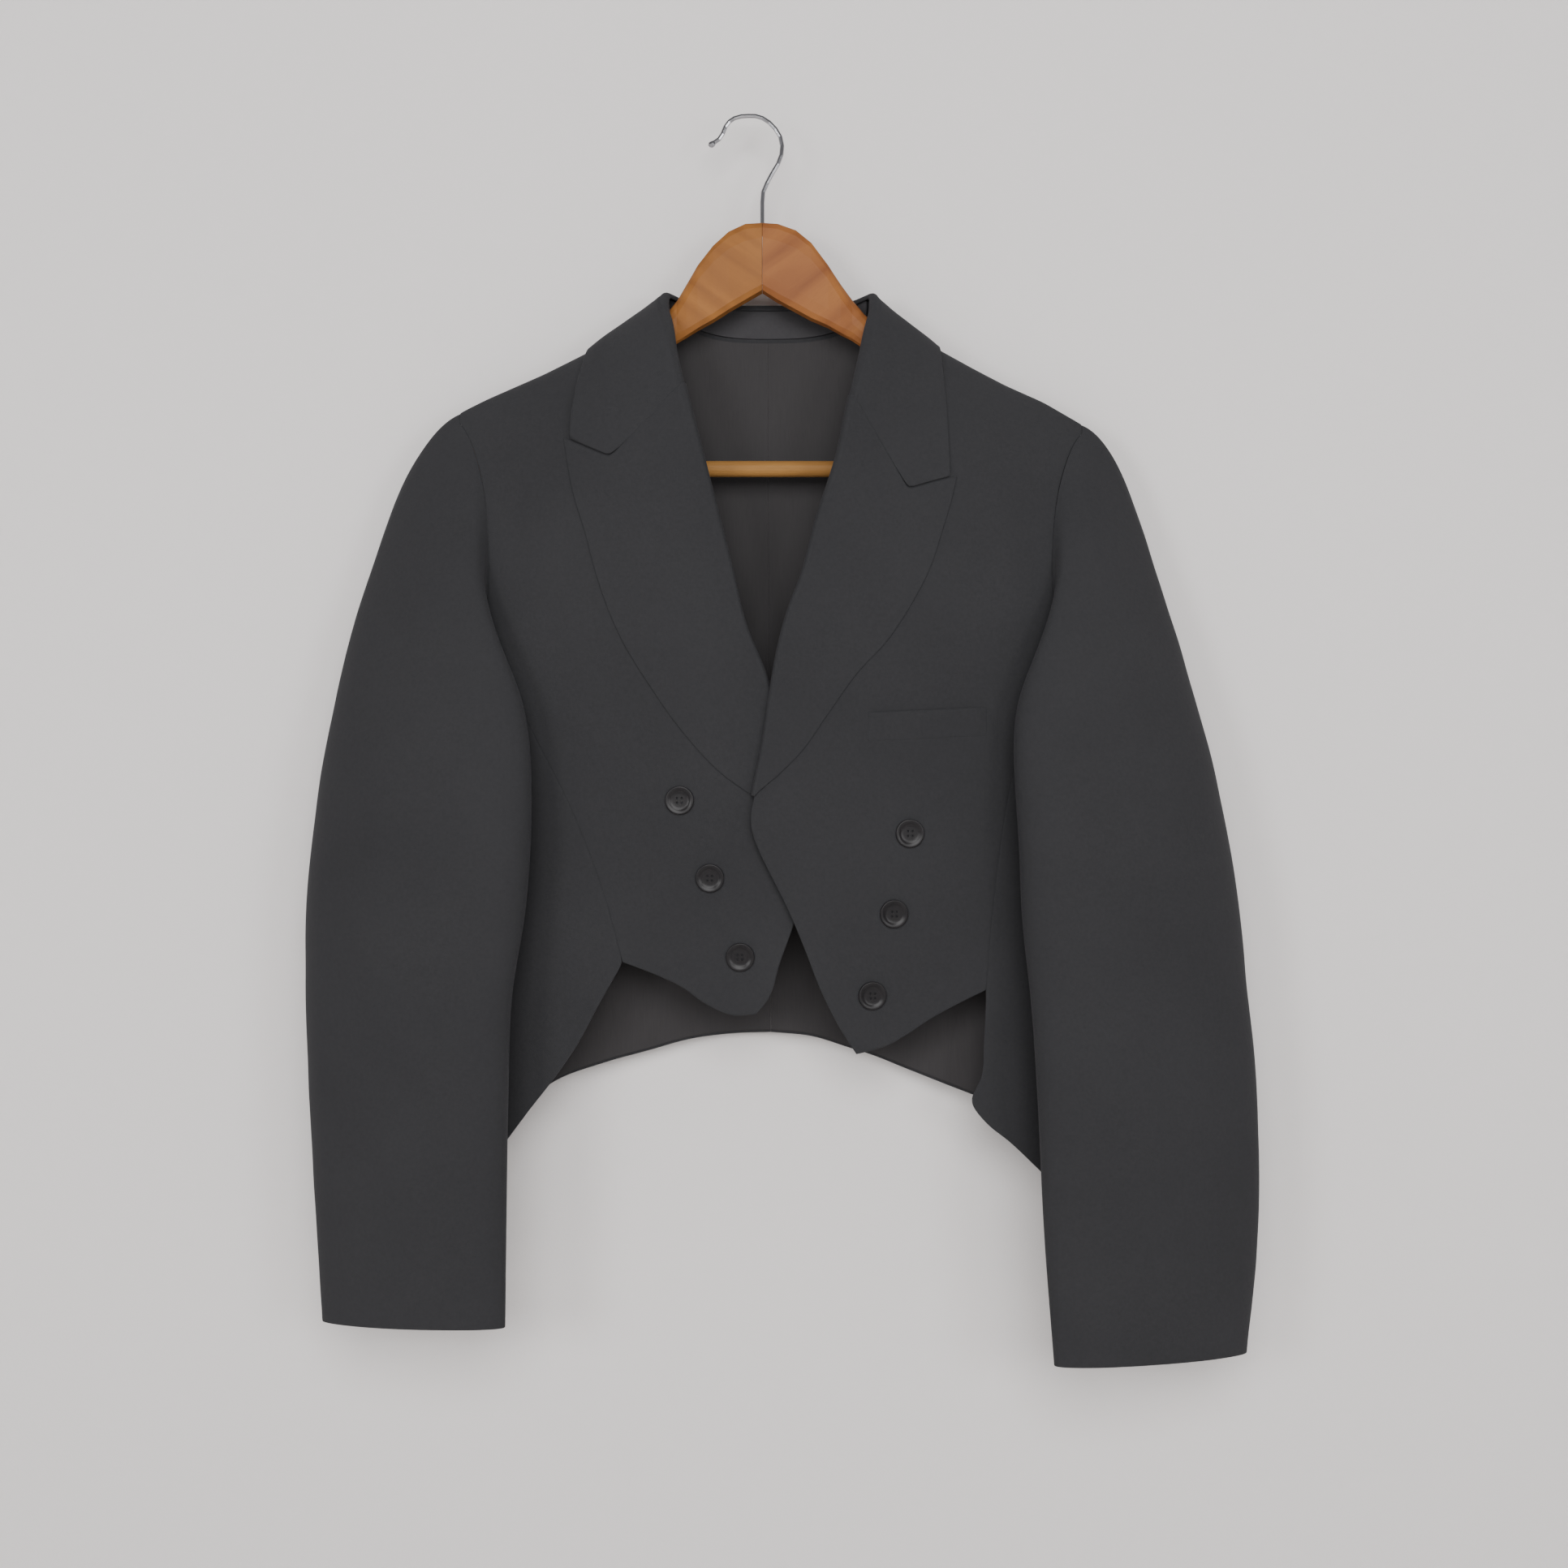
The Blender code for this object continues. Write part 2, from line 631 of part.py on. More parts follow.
def side_walls(side):
    tail = line_of(LEFT_TAIL_EDGE if side == LEFT else RIGHT_TAIL_EDGE)
    front = [tail(share) for share in steps(TAIL_ROWS)] + front_seam_places(side)[1:]
    inner = [np.array([ring_turn(across, height, False), height]) for across, height in front]
    outer = [np.array([ring_turn(across, height, True), height]) for across, height in back_seam_places(side)]

    def hem(share):
        dip = (SIDE_HEM - max(inner[0][1], outer[0][1])) * math.sin(math.pi * share) * (1 - share)
        return inner[0] + (outer[0] - inner[0]) * share + np.array([0.0, min(dip, 0.0)])

    def armhole(share):
        turn = FRONT_SEAM_TURN + (BACK_SEAM_TURN - FRONT_SEAM_TURN) * share
        across, height = armhole_place(turn, side)
        return np.array([ring_turn(across, height, turn > 180.0), height])

    grid = panel_grid(inner, outer, hem, armhole, SIDE_COLUMNS, 0.0, 0.0)
    outside, inside = [], []
    for line in grid:
        line[0] = line[0] + (line[1] - line[0]) * SIDE_MARGIN
        line[-1] = line[-1] + (line[-2] - line[-1]) * SIDE_MARGIN
        outside.append([ring_point(turn, height, side) for turn, height in line])
        normals = [ring_normal(turn, height, side) for turn, height in line]
        inside.append([point - normal * CLOTH for point, normal in zip(outside[-1], normals)])
    return outside, inside


def side_panel(name, side, collection, finish):
    outside, inside = side_walls(side)
    return wall_object(name, outside, inside, collection, finish)


def lapel(name, side, collection, finish):
    """Facing turned out at the roll line: it curls round the forepart's edge and lies on its front."""
    roll, foot, edge, gorge = (LEFT_ROLL, LEFT_LAPEL_FOOT, LEFT_LAPEL_EDGE, LEFT_GORGE)
    if side == RIGHT:
        roll, foot, edge, gorge = (RIGHT_ROLL, RIGHT_LAPEL_FOOT, RIGHT_LAPEL_EDGE, RIGHT_GORGE)
    places = np.array(front_edge_places(side))

    def roll_line(share):
        height = roll[0][1] + (roll[-1][1] - roll[0][1]) * share
        return np.array([np.interp(height, places[:, 1], places[:, 0]), height])

    edge_line = line_of(edge)
    inner = [roll_line(share) for share in steps(LAPEL_ROWS)]
    outer = [edge_line(share) for share in steps(LAPEL_ROWS)]
    bottom = line_of((tuple(inner[0]),) + foot[1:])
    grid = panel_grid(inner, outer, bottom, line_of(gorge), LAPEL_COLUMNS, 0.0, 0.0)
    outside, inside = [], []
    for row, line in enumerate(grid):
        v = row / LAPEL_ROWS
        spring = LAPEL_SPRING * min(1.0, max(0.0, (v - 0.5) / 0.35))
        radius = ROLL_RADIUS + spring
        across, height = line[0]
        ahead = roll_line(min(v + 0.01, 1.0)) - roll_line(max(v - 0.01, 0.0))
        normal = body_normal(across, height, False)
        medial = np.cross(np.array([ahead[0], 0.0, ahead[1]]), normal)
        medial = medial * -side * np.sign(medial[0]) / np.linalg.norm(medial)
        base = front_place(across, height, side, -CLOTH / 2)
        line_out, line_in = [], []
        for turn in CURL_TURNS:
            angle = math.radians(turn)
            way = normal * math.cos(angle) + medial * math.sin(angle)
            line_out.append(base + way * radius)
            line_in.append(base + way * (radius - LAPEL))
        for column, (across, height) in enumerate(line):
            lift = ROLL_RADIUS - CLOTH / 2 + spring * math.exp(-((3.0 * column / LAPEL_COLUMNS) ** 2))
            line_out.append(front_place(across, height, side, lift))
            line_in.append(front_place(across, height, side, lift - LAPEL))
        outside.append(line_out)
        inside.append(line_in)
    return wall_object(name, outside, inside, collection, finish)


def collar_station(side, share):
    """Roll centre, outward way, upward way and outer edge of the collar, from the gorge to the centre back."""
    table = LEFT_COLLAR if side == LEFT else RIGHT_COLLAR
    row = smooth(table, share)
    turn = math.radians(row[3])
    outward = np.array([side * math.sin(turn), -math.cos(turn), 0.0])
    upward = np.array([-side * (1 - row[4]), 0.0, max(row[4], 0.0)])
    return row[0:3], outward, upward / np.linalg.norm(upward), row[5:8]


def panel_tree(sides):
    """Search tree over the outer faces of the body's panels."""
    points, faces = [], []
    for side in sides:
        grids = [front_walls(side)[0], back_walls(side)[0], side_walls(side)[0]]
        for grid in grids:
            columns = len(grid[0])
            first = len(points)
            points += [Vector(p) for line in grid for p in line]
            for i in range(len(grid) - 1):
                for j in range(columns - 1):
                    a = first + i * columns + j
                    faces += [(a, a + 1, a + columns + 1), (a, a + columns + 1, a + columns)]
    return BVHTree.FromPolygons(points, faces)


def clear_of(tree, point, lift):
    """Moves a point out from the panels until it stands the given distance off them."""
    place = Vector(point)
    nearest, normal, index, distance = tree.find_nearest(place)
    flat = Vector((nearest.x - CENTRE, 8.0 * nearest.y, 2.0 * (nearest.z - BODY_MIDDLE)))
    if normal.dot(flat) < 0:
        normal = -normal
    away = place - nearest
    if away.dot(normal) > 0 and distance >= lift:
        return np.array(point)
    if away.dot(normal) > 0 and distance > 0.3 * lift:
        normal = away.normalized()
    return np.array(nearest + normal * lift)


def collar_half(side, tree):
    gorge = line_of(LEFT_GORGE if side == LEFT else RIGHT_GORGE)
    places = np.array(front_edge_places(side))
    half = []
    for v in steps(COLLAR_STEPS):
        centre, outward, upward, edge = collar_station(side, v)
        share = min(max((NECK_JOIN - centre[2]) / NECK_BLEND, 0.0), 1.0)
        if v < 0.5 and share > 0:
            across = np.interp(centre[2], places[:, 1], places[:, 0])
            centre = centre * (1 - share) + front_place(across, centre[2], side, -CLOTH / 2) * share
        curl = []
        for turn in COLLAR_CURL:
            angle = math.radians(turn)
            curl.append((centre, outward * math.cos(angle) + upward * math.sin(angle)))
        leaf = []
        start = centre + outward * COLLAR_ROLL
        for u in steps(LEAF_COLUMNS):
            point = start + (edge - start) * u + outward * COLLAR_BULGE * math.sin(math.pi * u)
            if v < 1:
                seam = gorge(u * NOTCH_REACH if u == 1 else u) + np.array([0.0, NOTCH_GAP + SLIT * u])
                straight = np.array([start[0] + (edge[0] - start[0]) * u, start[2] + (edge[2] - start[2]) * u])
                bend = (seam - straight) * (1 - v) ** GORGE_FADE
                point = point + np.array([bend[0], 0.0, bend[1]])
            lift = COLLAR_LIFT + RIDGE_LIFT * max(0.0, 1.0 - abs(point[1]) / RIDGE_REACH)
            leaf.append(clear_of(tree, point, lift))
        half.append((curl, leaf, outward))
    return half


def collar_leaf(collection, finish):
    """Leaf of the collar: each station curls over the neckline and falls to the outer edge."""
    outside, inside = [], []
    tree = panel_tree((LEFT, RIGHT))
    stations = collar_half(LEFT, tree) + collar_half(RIGHT, tree)[-2::-1]
    for curl, leaf, outward in stations:
        line_out = [centre + way * COLLAR_ROLL for centre, way in curl]
        line_in = [centre + way * (COLLAR_ROLL - CLOTH) for centre, way in curl]
        line_out += leaf
        line_in += [None] * len(leaf)
        outside.append(line_out)
        inside.append(line_in)
    start = len(COLLAR_CURL)
    for i, line in enumerate(outside):
        before = outside[max(i - 1, 0)]
        after = outside[min(i + 1, len(outside) - 1)]
        for j in range(start, len(line)):
            around = after[j] - before[j]
            down = line[min(j + 1, len(line) - 1)] - line[j - 1]
            normal = np.cross(around, down)
            normal = normal / np.linalg.norm(normal)
            inside[i][j] = line[j] - normal * CLOTH
    return wall_object("collar_leaf", outside, inside, collection, finish)


def neckline(across):
    """Height of the back's top edge."""
    neck = LEFT_NECK if across < BACK_CENTRE[-1][0] else RIGHT_NECK
    part = (across - BACK_CENTRE[-1][0]) / (neck[0] - BACK_CENTRE[-1][0])
    return BACK_CENTRE[-1][1] + (neck[1] - BACK_CENTRE[-1][1]) * part**3


def collar_stand(collection, finish):
    """Stand of the collar: a band from the neck seam of the back up into the collar's roll."""
    shares = [STAND_START + (1 - STAND_START) * share for share in steps(STAND_STEPS // 2)]
    stations = [collar_station(LEFT, share) for share in shares]
    stations += [collar_station(RIGHT, share) for share in shares[-2::-1]]
    outside, inside = [], []
    for centre, outward, upward, edge in stations:
        foot_height = neckline(centre[0]) + STAND_GAP
        foot = body_point(centre[0], neckline(centre[0]), True) - outward * CLOTH / 2
        foot[2] = min(foot_height, centre[2] - 1.0)
        line_out, line_in = [], []
        for share in steps(STAND_ROWS):
            point = foot + (centre - foot) * share
            line_out.append(point + outward * CLOTH / 2)
            line_in.append(point - outward * CLOTH / 2)
        outside.append(line_out)
        inside.append(line_in)
    return wall_object("collar_stand", outside, inside, collection, finish)


def armhole_tangent(turn, side):
    along = armhole_point(turn + 2.0, side) - armhole_point(turn - 2.0, side)
    return along / np.linalg.norm(along)


def clear_of_body(point, clearance):
    """Moves a point of the sleeve out of the body's form, the shortest way."""
    across, depth, height = point
    half_width, middle, front_depth, back_depth = level(height)
    drop = max(shoulder_height(across) - height, 0.0)
    if drop < SHOULDER_FREE and abs(across - CENTRE) > level(ARMHOLE_BOTTOM)[0] - 4.0:
        return np.array(point, float)
    for _ in range(8):
        back = depth > middle
        reach = BACK_REACH if back else FRONT_REACH
        power = BACK_POWER if back else FRONT_POWER
        rise = (1.0 - (1.0 - min(drop / reach, 1.0)) ** 2) ** power
        deep = (back_depth if back else front_depth) * rise + clearance
        wide = half_width + clearance
        share = abs(across - CENTRE) / wide
        part = abs(depth - middle) / deep
        excess = share**FULLNESS + part**FULLNESS - 1.0
        if excess >= 0.0:
            break
        slope = np.array([
            FULLNESS * share ** (FULLNESS - 1) / wide * np.sign(across - CENTRE),
            FULLNESS * part ** (FULLNESS - 1) / deep * np.sign(depth - middle),
        ])
        move = -excess * slope / max(float(slope @ slope), 1e-9)
        across += move[0]
        depth += move[1]
    return np.array([across, depth, height])


def sleeve_ring(row, turn):
    """Point of a sleeve's ring, at a turn from its outer side (0) over its front (90)."""
    outer = np.array(row[0:3])
    inner = np.array(row[3:6])
    centre = (outer + inner) / 2
    outward = outer - centre
    flat = np.array([outward[0], outward[1], 0.0])
    forward = np.array([outward[1], -outward[0], 0.0]) / np.linalg.norm(flat)
    forward = forward * -np.sign(forward[1]) * row[6]
    angle = math.radians(turn)
    return centre + outward * math.cos(angle) + forward * math.sin(angle)


def untwisted(turn):
    """Turn on the lower rings that belongs to a turn round the armhole."""
    ring_turn_guess = turn
    for _ in range(30):
        ring_turn_guess = turn + SLEEVE_TWIST * math.sin(math.radians(ring_turn_guess) / 2) ** 2
    return ring_turn_guess


def sleeve_point(table, share, turn):
    """Point at a share of the sleeve's length, lower at the back near the armpit."""
    point = sleeve_ring(smooth(table, share), turn)
    part = min(max((turn - UNDER_TURNS[0]) / (UNDER_TURNS[1] - UNDER_TURNS[0]), 0.0), 1.0)
    fade = max(1.0 - share / UNDER_FADE, 0.0) ** 2
    point[2] -= UNDER_DROP * math.sin(math.pi * part) ** 2 * fade
    return point


def sleeve_strake(turn, side):
    """Points of the sleeve from the armhole to the cuff, along one turn."""
    table = LEFT_SLEEVE if side == LEFT else RIGHT_SLEEVE
    lower = untwisted(turn)
    tangent = armhole_tangent(turn, side)
    apart = np.array([side, 0.0, 0.0]) - side * tangent[0] * tangent
    start = armhole_point(turn, side) + apart / np.linalg.norm(apart) * ARMHOLE_GAP
    first = sleeve_point(table, 0.0, lower)
    second = sleeve_point(table, 0.04, lower)
    chord = np.linalg.norm(first - start)
    lateral, forward, down = table_at(SLEEVE_START, turn % 360.0)
    start_way = np.array([side * lateral, -forward, -down]) * chord * START_PULL
    end_way = (second - first) / np.linalg.norm(second - first) * chord * END_PULL
    points = []
    for t in steps(CAP_STEPS):
        t = t**1.2
        point = (2 * t**3 - 3 * t**2 + 1) * start + (t**3 - 2 * t**2 + t) * start_way
        point = point + (3 * t**2 - 2 * t**3) * first + (t**3 - t**2) * end_way
        points.append(clear_of_body(point, SLEEVE_CLEARANCE * min(t / 0.15, 1.0)) if t > 0 else point)
    for share in steps(SLEEVE_STEPS)[1:]:
        points.append(clear_of_body(sleeve_point(table, share, lower), SLEEVE_CLEARANCE))
    return points


def sleeve(side, word, collection, finish):
    """Two walls from the armhole to the cuff: the top sleeve outside, the under sleeve inside."""
    turns = front_turns()[::-1] + side_turns()[1:] + back_turns()[1:]
    strakes = [sleeve_strake(turn, side) for turn in turns]
    count = len(turns) - 1
    normals = []
    for j, turn in enumerate(turns):
        before = strakes[(j - 1) % count if j > 0 else count - 1]
        after = strakes[(j + 1) % count if j < count else 1]
        line = []
        for i in range(len(strakes[j])):
            around = after[i] - before[i]
            along = strakes[j][min(i + 1, len(strakes[j]) - 1)] - strakes[j][max(i - 1, 0)]
            outward = np.cross(around, along) * side
            if i == 0:
                outward = np.cross(armhole_tangent(turn, side), np.array([side, 0.0, 0.0])) * side
            line.append(outward / np.linalg.norm(outward))
        normals.append(line)
    first_seam = min(range(count), key=lambda j: abs(turns[j] - TOP_SEAM))
    second_seam = min(range(count), key=lambda j: abs(turns[j] - UNDER_SEAM))
    spans = {
        "sleeve_under_" + word: list(range(first_seam, second_seam + 1)),
        "sleeve_top_" + word: list(range(second_seam, count)) + list(range(0, first_seam + 1)),
    }
    for name, span in spans.items():
        outside, inside = [], []
        for place, j in enumerate(span):
            points = [np.array(p) for p in strakes[j]]
            if place in (0, len(span) - 1):
                beside = strakes[span[1] if place == 0 else span[-2]]
                for i, other in enumerate(beside):
                    inward = other - points[i]
                    points[i] = points[i] + inward / max(np.linalg.norm(inward), 1.0) * SLEEVE_SEAM
            outside.append(points)
            inside.append([p - n * CLOTH for p, n in zip(points, normals[j])])
        wall_object(name, outside, inside, collection, finish)


def back_lining(name, side, collection, finish):
    """Lining on the inner face of a back panel, from below the neck to just above the hem."""
    walls = back_walls(side)
    for rows in walls:
        rows[0] = [low + (high - low) * LINING_HEM for low, high in zip(rows[0], rows[1])]
    outside, inside = [], []
    for outer, inner in list(zip(*walls))[:-1]:
        line_out, line_in = [], []
        for point, within in zip(outer[:LINING_COLUMNS + 1], inner):
            way = (within - point) / CLOTH
            line_out.append(within + way * GAP)
            line_in.append(within + way * (GAP + LINING))
        outside.append(line_out)
        inside.append(line_in)
    return wall_object(name, outside, inside, collection, finish)


def breast_welt(collection, finish):
    outside, inside = [], []
    left = np.array(WELT_TOP_LEFT)
    right = np.array(WELT_TOP_RIGHT)
    for v in steps(2):
        line_out, line_in = [], []
        for u in steps(6):
            across, height = left + (right - left) * u
            height = height - WELT_HEIGHT * (1 - v)
            line_out.append(front_place(across, height, RIGHT, 2 * GAP + LAPEL))
            line_in.append(front_place(across, height, RIGHT, 2 * GAP))
        outside.append(line_out)
        inside.append(line_in)
    return wall_object("breast_welt", outside, inside, collection, finish)


def screwed(name, profile, place, normal, collection, finish):
    """Turned piece: a profile of radius and height, spun round the way of the normal."""
    mesh = bpy.data.meshes.new(name)
    vertices = [(radius * MM, 0.0, height * MM) for radius, height in profile]
    edges = [(i, i + 1) for i in range(len(vertices) - 1)]
    mesh.from_pydata(vertices, edges, [])
    obj = add_object(name, mesh, collection, finish)
    screw = obj.modifiers.new("turn", "SCREW")
    screw.steps = BUTTON_STEPS
    screw.render_steps = BUTTON_STEPS
    screw.use_merge_vertices = True
    screw.merge_threshold = 0.00001
    obj.location = Vector(place) * MM
    obj.rotation_euler = Vector(normal).to_track_quat("Z", "Y").to_euler()
    return obj


def buttons(collection, finish):
    """Dished buttons with a raised rim, each just over the cloth."""
    for word, places in BUTTON_PLACES:
        side = LEFT if word == "left" else RIGHT
        for number, (across, height) in enumerate(places, 1):
            place = front_place(across, height, side, BUTTON_GAP)
            normal = front_normal(across, height, side)
            screwed(f"button_{word}_{number}", BUTTON_PROFILE, place, normal, collection, finish)


def arm_loft(name, side, table, collection, finish):
    """Wooden arm: rounded sections along its length, the first on the joint."""
    solid = bmesh.new()
    rings = []
    for distance, top, bottom, half_depth, square in table:
        across = HANGER_JOINT + side * max(distance, GAP / 2)
        middle = (top + bottom) / 2
        half_height = (top - bottom) / 2
        ring = []
        for k in range(ARM_SIDES):
            angle = 2 * math.pi * (k + 0.5) / ARM_SIDES
            cos, sin = math.cos(angle), math.sin(angle)
            depth = half_depth * math.copysign(abs(cos) ** square, cos)
            height = middle + half_height * math.copysign(abs(sin) ** square, sin)
            ring.append(solid.verts.new(Vector((across, depth, height)) * MM))
        rings.append(ring)
    for ring, following in zip(rings, rings[1:]):
        for k in range(ARM_SIDES):
            m = (k + 1) % ARM_SIDES
            solid.faces.new((ring[k], ring[m], following[m], following[k]))
    solid.faces.new(rings[0])
    solid.faces.new(rings[-1][::-1])
    bmesh.ops.recalc_face_normals(solid, faces=solid.faces)
    mesh = bpy.data.meshes.new(name)
    solid.to_mesh(mesh)
    solid.free()
    mesh.shade_smooth()
    mesh.set_sharp_from_angle(angle=math.radians(50))
    return add_object(name, mesh, collection, finish)


def cylinder(name, radius, start, end, sides, collection, finish):
    """Cylinder between two points."""
    axis = Vector(end) - Vector(start)
    shape = bmesh.new()
    turn = axis.to_track_quat("Z", "Y").to_matrix().to_4x4()
    place = Matrix.Translation((Vector(start) + Vector(end)) / 2 * MM) @ turn
    bmesh.ops.create_cone(shape, cap_ends=True, segments=sides, radius1=radius * MM, radius2=radius * MM,
                          depth=axis.length * MM, matrix=place)
    mesh = bpy.data.meshes.new(name)
    shape.to_mesh(mesh)
    shape.free()
    mesh.shade_smooth()
    mesh.set_sharp_from_angle(angle=math.radians(40))
    return add_object(name, mesh, collection, finish)


def cut(obj, cutter):
    cutter.hide_render = True
    cutter.display_type = "WIRE"
    boolean = obj.modifiers.new("cut", "BOOLEAN")
    boolean.operation = "DIFFERENCE"
    boolean.solver = "EXACT"
    boolean.object = cutter


def hanger(collection, cutters, wood, bar_wood, chrome):
    """Two arms on a centre joint, the round bar in its sockets and the wire hook in its bore."""
    left = arm_loft("hanger_arm_left", LEFT, LEFT_ARM, collection, wood)
    right = arm_loft("hanger_arm_right", RIGHT, RIGHT_ARM, collection, wood)
    start = (BAR_ENDS[0], 0.0, BAR_HEIGHT)
    end = (BAR_ENDS[1], 0.0, BAR_HEIGHT)
    cylinder("hanger_bar", BAR_RADIUS, start, end, BAR_SIDES, collection, bar_wood)
    socket_start = (BAR_ENDS[0] - GAP, 0.0, BAR_HEIGHT)
    socket_end = (BAR_ENDS[1] + GAP, 0.0, BAR_HEIGHT)
    socket = cylinder("bar_socket", BAR_RADIUS + GAP, socket_start, socket_end, BAR_SIDES, cutters, wood)
    foot = HOOK_POINTS[-1]
    bore_start = (foot[0], 0.0, foot[1] - GAP)
    bore_end = (foot[0], 0.0, foot[1] + 20)
    bore = cylinder("hook_bore", WIRE_RADIUS + GAP, bore_start, bore_end, 12, cutters, wood)
    for arm in (left, right):
        cut(arm, socket)
        cut(arm, bore)
    wire = bpy.data.curves.new("hanger_hook", "CURVE")
    wire.dimensions = "3D"
    wire.bevel_depth = WIRE_RADIUS * MM
    wire.bevel_resolution = 2
    wire.use_fill_caps = True
    line = wire.splines.new("POLY")
    line.points.add(len(HOOK_POINTS) - 1)
    for point, (across, height, share) in zip(line.points, HOOK_POINTS):
        point.co = (across * MM, 0.0, height * MM, 1.0)
        point.radius = share
    line.use_smooth = True
    hook = bpy.data.objects.new("hanger_hook", wire)
    wire.materials.append(chrome)
    collection.objects.link(hook)


def main():
    clear_scene()
    garment = new_collection("blazer_on_hanger")
    cutters = new_collection("cutters")
    wool = material("wool", (0.030, 0.029, 0.032), 0.85)
    satin = material("lining", (0.032, 0.027, 0.028), 0.5)
    horn = material("button", (0.012, 0.011, 0.011), 0.3)
    wood = material("hanger_wood", (0.36, 0.17, 0.08), 0.4)
    bar_wood = material("bar_wood", (0.40, 0.22, 0.10), 0.45)
    chrome = material("chrome", (0.70, 0.70, 0.70), 0.12, 1.0)
    for side, word in ((LEFT, "left"), (RIGHT, "right")):
        front_panel("front_" + word, side, garment, wool)
        back_panel("back_" + word, side, garment, wool)
        side_panel("side_" + word, side, garment, wool)
        lapel("lapel_" + word, side, garment, wool)
        sleeve(side, word, garment, wool)
        back_lining("lining_" + word, side, garment, satin)
    collar_leaf(garment, wool)
    collar_stand(garment, wool)
    breast_welt(garment, wool)
    buttons(garment, horn)
    hanger(garment, cutters, wood, bar_wood, chrome)


main()
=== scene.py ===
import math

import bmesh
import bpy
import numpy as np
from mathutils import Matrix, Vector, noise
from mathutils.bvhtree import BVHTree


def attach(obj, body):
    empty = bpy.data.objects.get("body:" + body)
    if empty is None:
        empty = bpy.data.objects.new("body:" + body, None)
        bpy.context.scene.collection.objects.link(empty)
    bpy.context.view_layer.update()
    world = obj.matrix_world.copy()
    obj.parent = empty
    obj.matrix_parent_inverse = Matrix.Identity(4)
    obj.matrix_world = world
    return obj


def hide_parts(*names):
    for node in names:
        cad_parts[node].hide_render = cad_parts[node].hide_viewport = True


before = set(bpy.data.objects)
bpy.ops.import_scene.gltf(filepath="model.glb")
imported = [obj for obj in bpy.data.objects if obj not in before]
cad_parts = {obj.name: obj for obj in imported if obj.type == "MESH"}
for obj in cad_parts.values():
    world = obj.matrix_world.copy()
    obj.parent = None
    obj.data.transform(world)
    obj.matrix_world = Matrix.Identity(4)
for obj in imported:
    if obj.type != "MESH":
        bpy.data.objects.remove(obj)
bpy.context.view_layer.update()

# %% [markdown]
# # A cropped double-breasted blazer on a wooden hanger
# The object is a black wool jacket with peaked lapels. It hangs closed on a hanger with a round bar.
# The frame holds the jacket's solids, cut and placed already. This lesson puts a finer cloth shell in the
# place of each of them, closes the seams, and gives cloth, wood, horn and wire their finishes.
# All tables are in millimetres. Left is -X, the front faces -Y, and the hook's inner top is the origin.

MM = 0.001
LEFT = -1
RIGHT = 1
WORDS = {LEFT: "left", RIGHT: "right"}
# Thickness of wool, lapel and lining, the room between layers, and half the slit of a closed seam
CLOTH = 1.6
LAPEL = 1.2
LINING = 1.0
GAP = 0.3
SEAM_HALF = 0.03
bpy.ops.object.select_all(action="DESELECT")

# %% [markdown]
# ## Camera
# The picture was taken straight from the front, about 1.6 m away, at the height of the jacket's middle.
# The frame is square and 1.12 m wide where the jacket hangs. The lens follows from these two numbers.

# %% Camera
VIEW_DISTANCE = 1.6
VIEW_WIDTH = 1.1206
VIEW_ACROSS = 0.0255
VIEW_HEIGHT = -0.4756
camera = bpy.data.objects.new("camera", bpy.data.cameras.new("camera"))
bpy.context.scene.collection.objects.link(camera)
camera.data.sensor_width = 36.0
camera.data.lens = camera.data.sensor_width * VIEW_DISTANCE / VIEW_WIDTH
camera.location = (VIEW_ACROSS, -VIEW_DISTANCE, VIEW_HEIGHT)
camera.rotation_euler = (math.radians(90), 0, 0)
bpy.context.scene.camera = camera
print("lens", round(camera.data.lens, 1), "mm")

# %% [markdown]
# ## Colours and nodes
# Colours are written as sRGB hex, as a colour picker shows them. Shaders count in linear light, so one
# function turns the one into the other. A second function adds a node with its settings and links.

# %% Colour and node helpers
def hex_colour(text):
    channels = [int(text[i:i + 2], 16) / 255 for i in (0, 2, 4)]
    linear = [c / 12.92 if c <= 0.04045 else ((c + 0.055) / 1.055) ** 2.4 for c in channels]
    return (*linear, 1.0)


def node(tree, kind, settings=(), values=(), links=()):
    """Adds a node. Settings are its properties, values its inputs and links its inputs' sources."""
    made = tree.nodes.new(kind)
    for name, value in dict(settings).items():
        setattr(made, name, value)
    for name, value in dict(values).items():
        made.inputs[name].default_value = value
    for name, source in dict(links).items():
        tree.links.new(source, made.inputs[name])
    return made


def new_finish(name, values):
    """A material with its tree, its shader, and the place of each point on the object."""
    finish = bpy.data.materials.new(name)
    finish.use_nodes = True
    tree = finish.node_tree
    shader = tree.nodes["Principled BSDF"]
    for key, value in values.items():
        shader.inputs[key].default_value = value
    return finish, tree, shader, node(tree, "ShaderNodeTexCoord").outputs["Object"]


print("black wool is", [round(c, 4) for c in hex_colour("2b2b2d")])

# %% [markdown]
# ## Wool
# The jacket is a worsted wool flannel: fine yarns in a close twill, brushed so that a short nap stands
# over them. The eye sees a deep, even black that lifts to grey at grazing angles, because the nap
# catches light there. Sheen gives that lift. The twill's ribs are drawn 0.5 mm apart, near the real
# 0.4 mm. The photograph shows none from its distance, so they stay faint and only show close by.

# %% Wool finish
TWILL_ANGLE = 58
TWILL_SCALE = 620


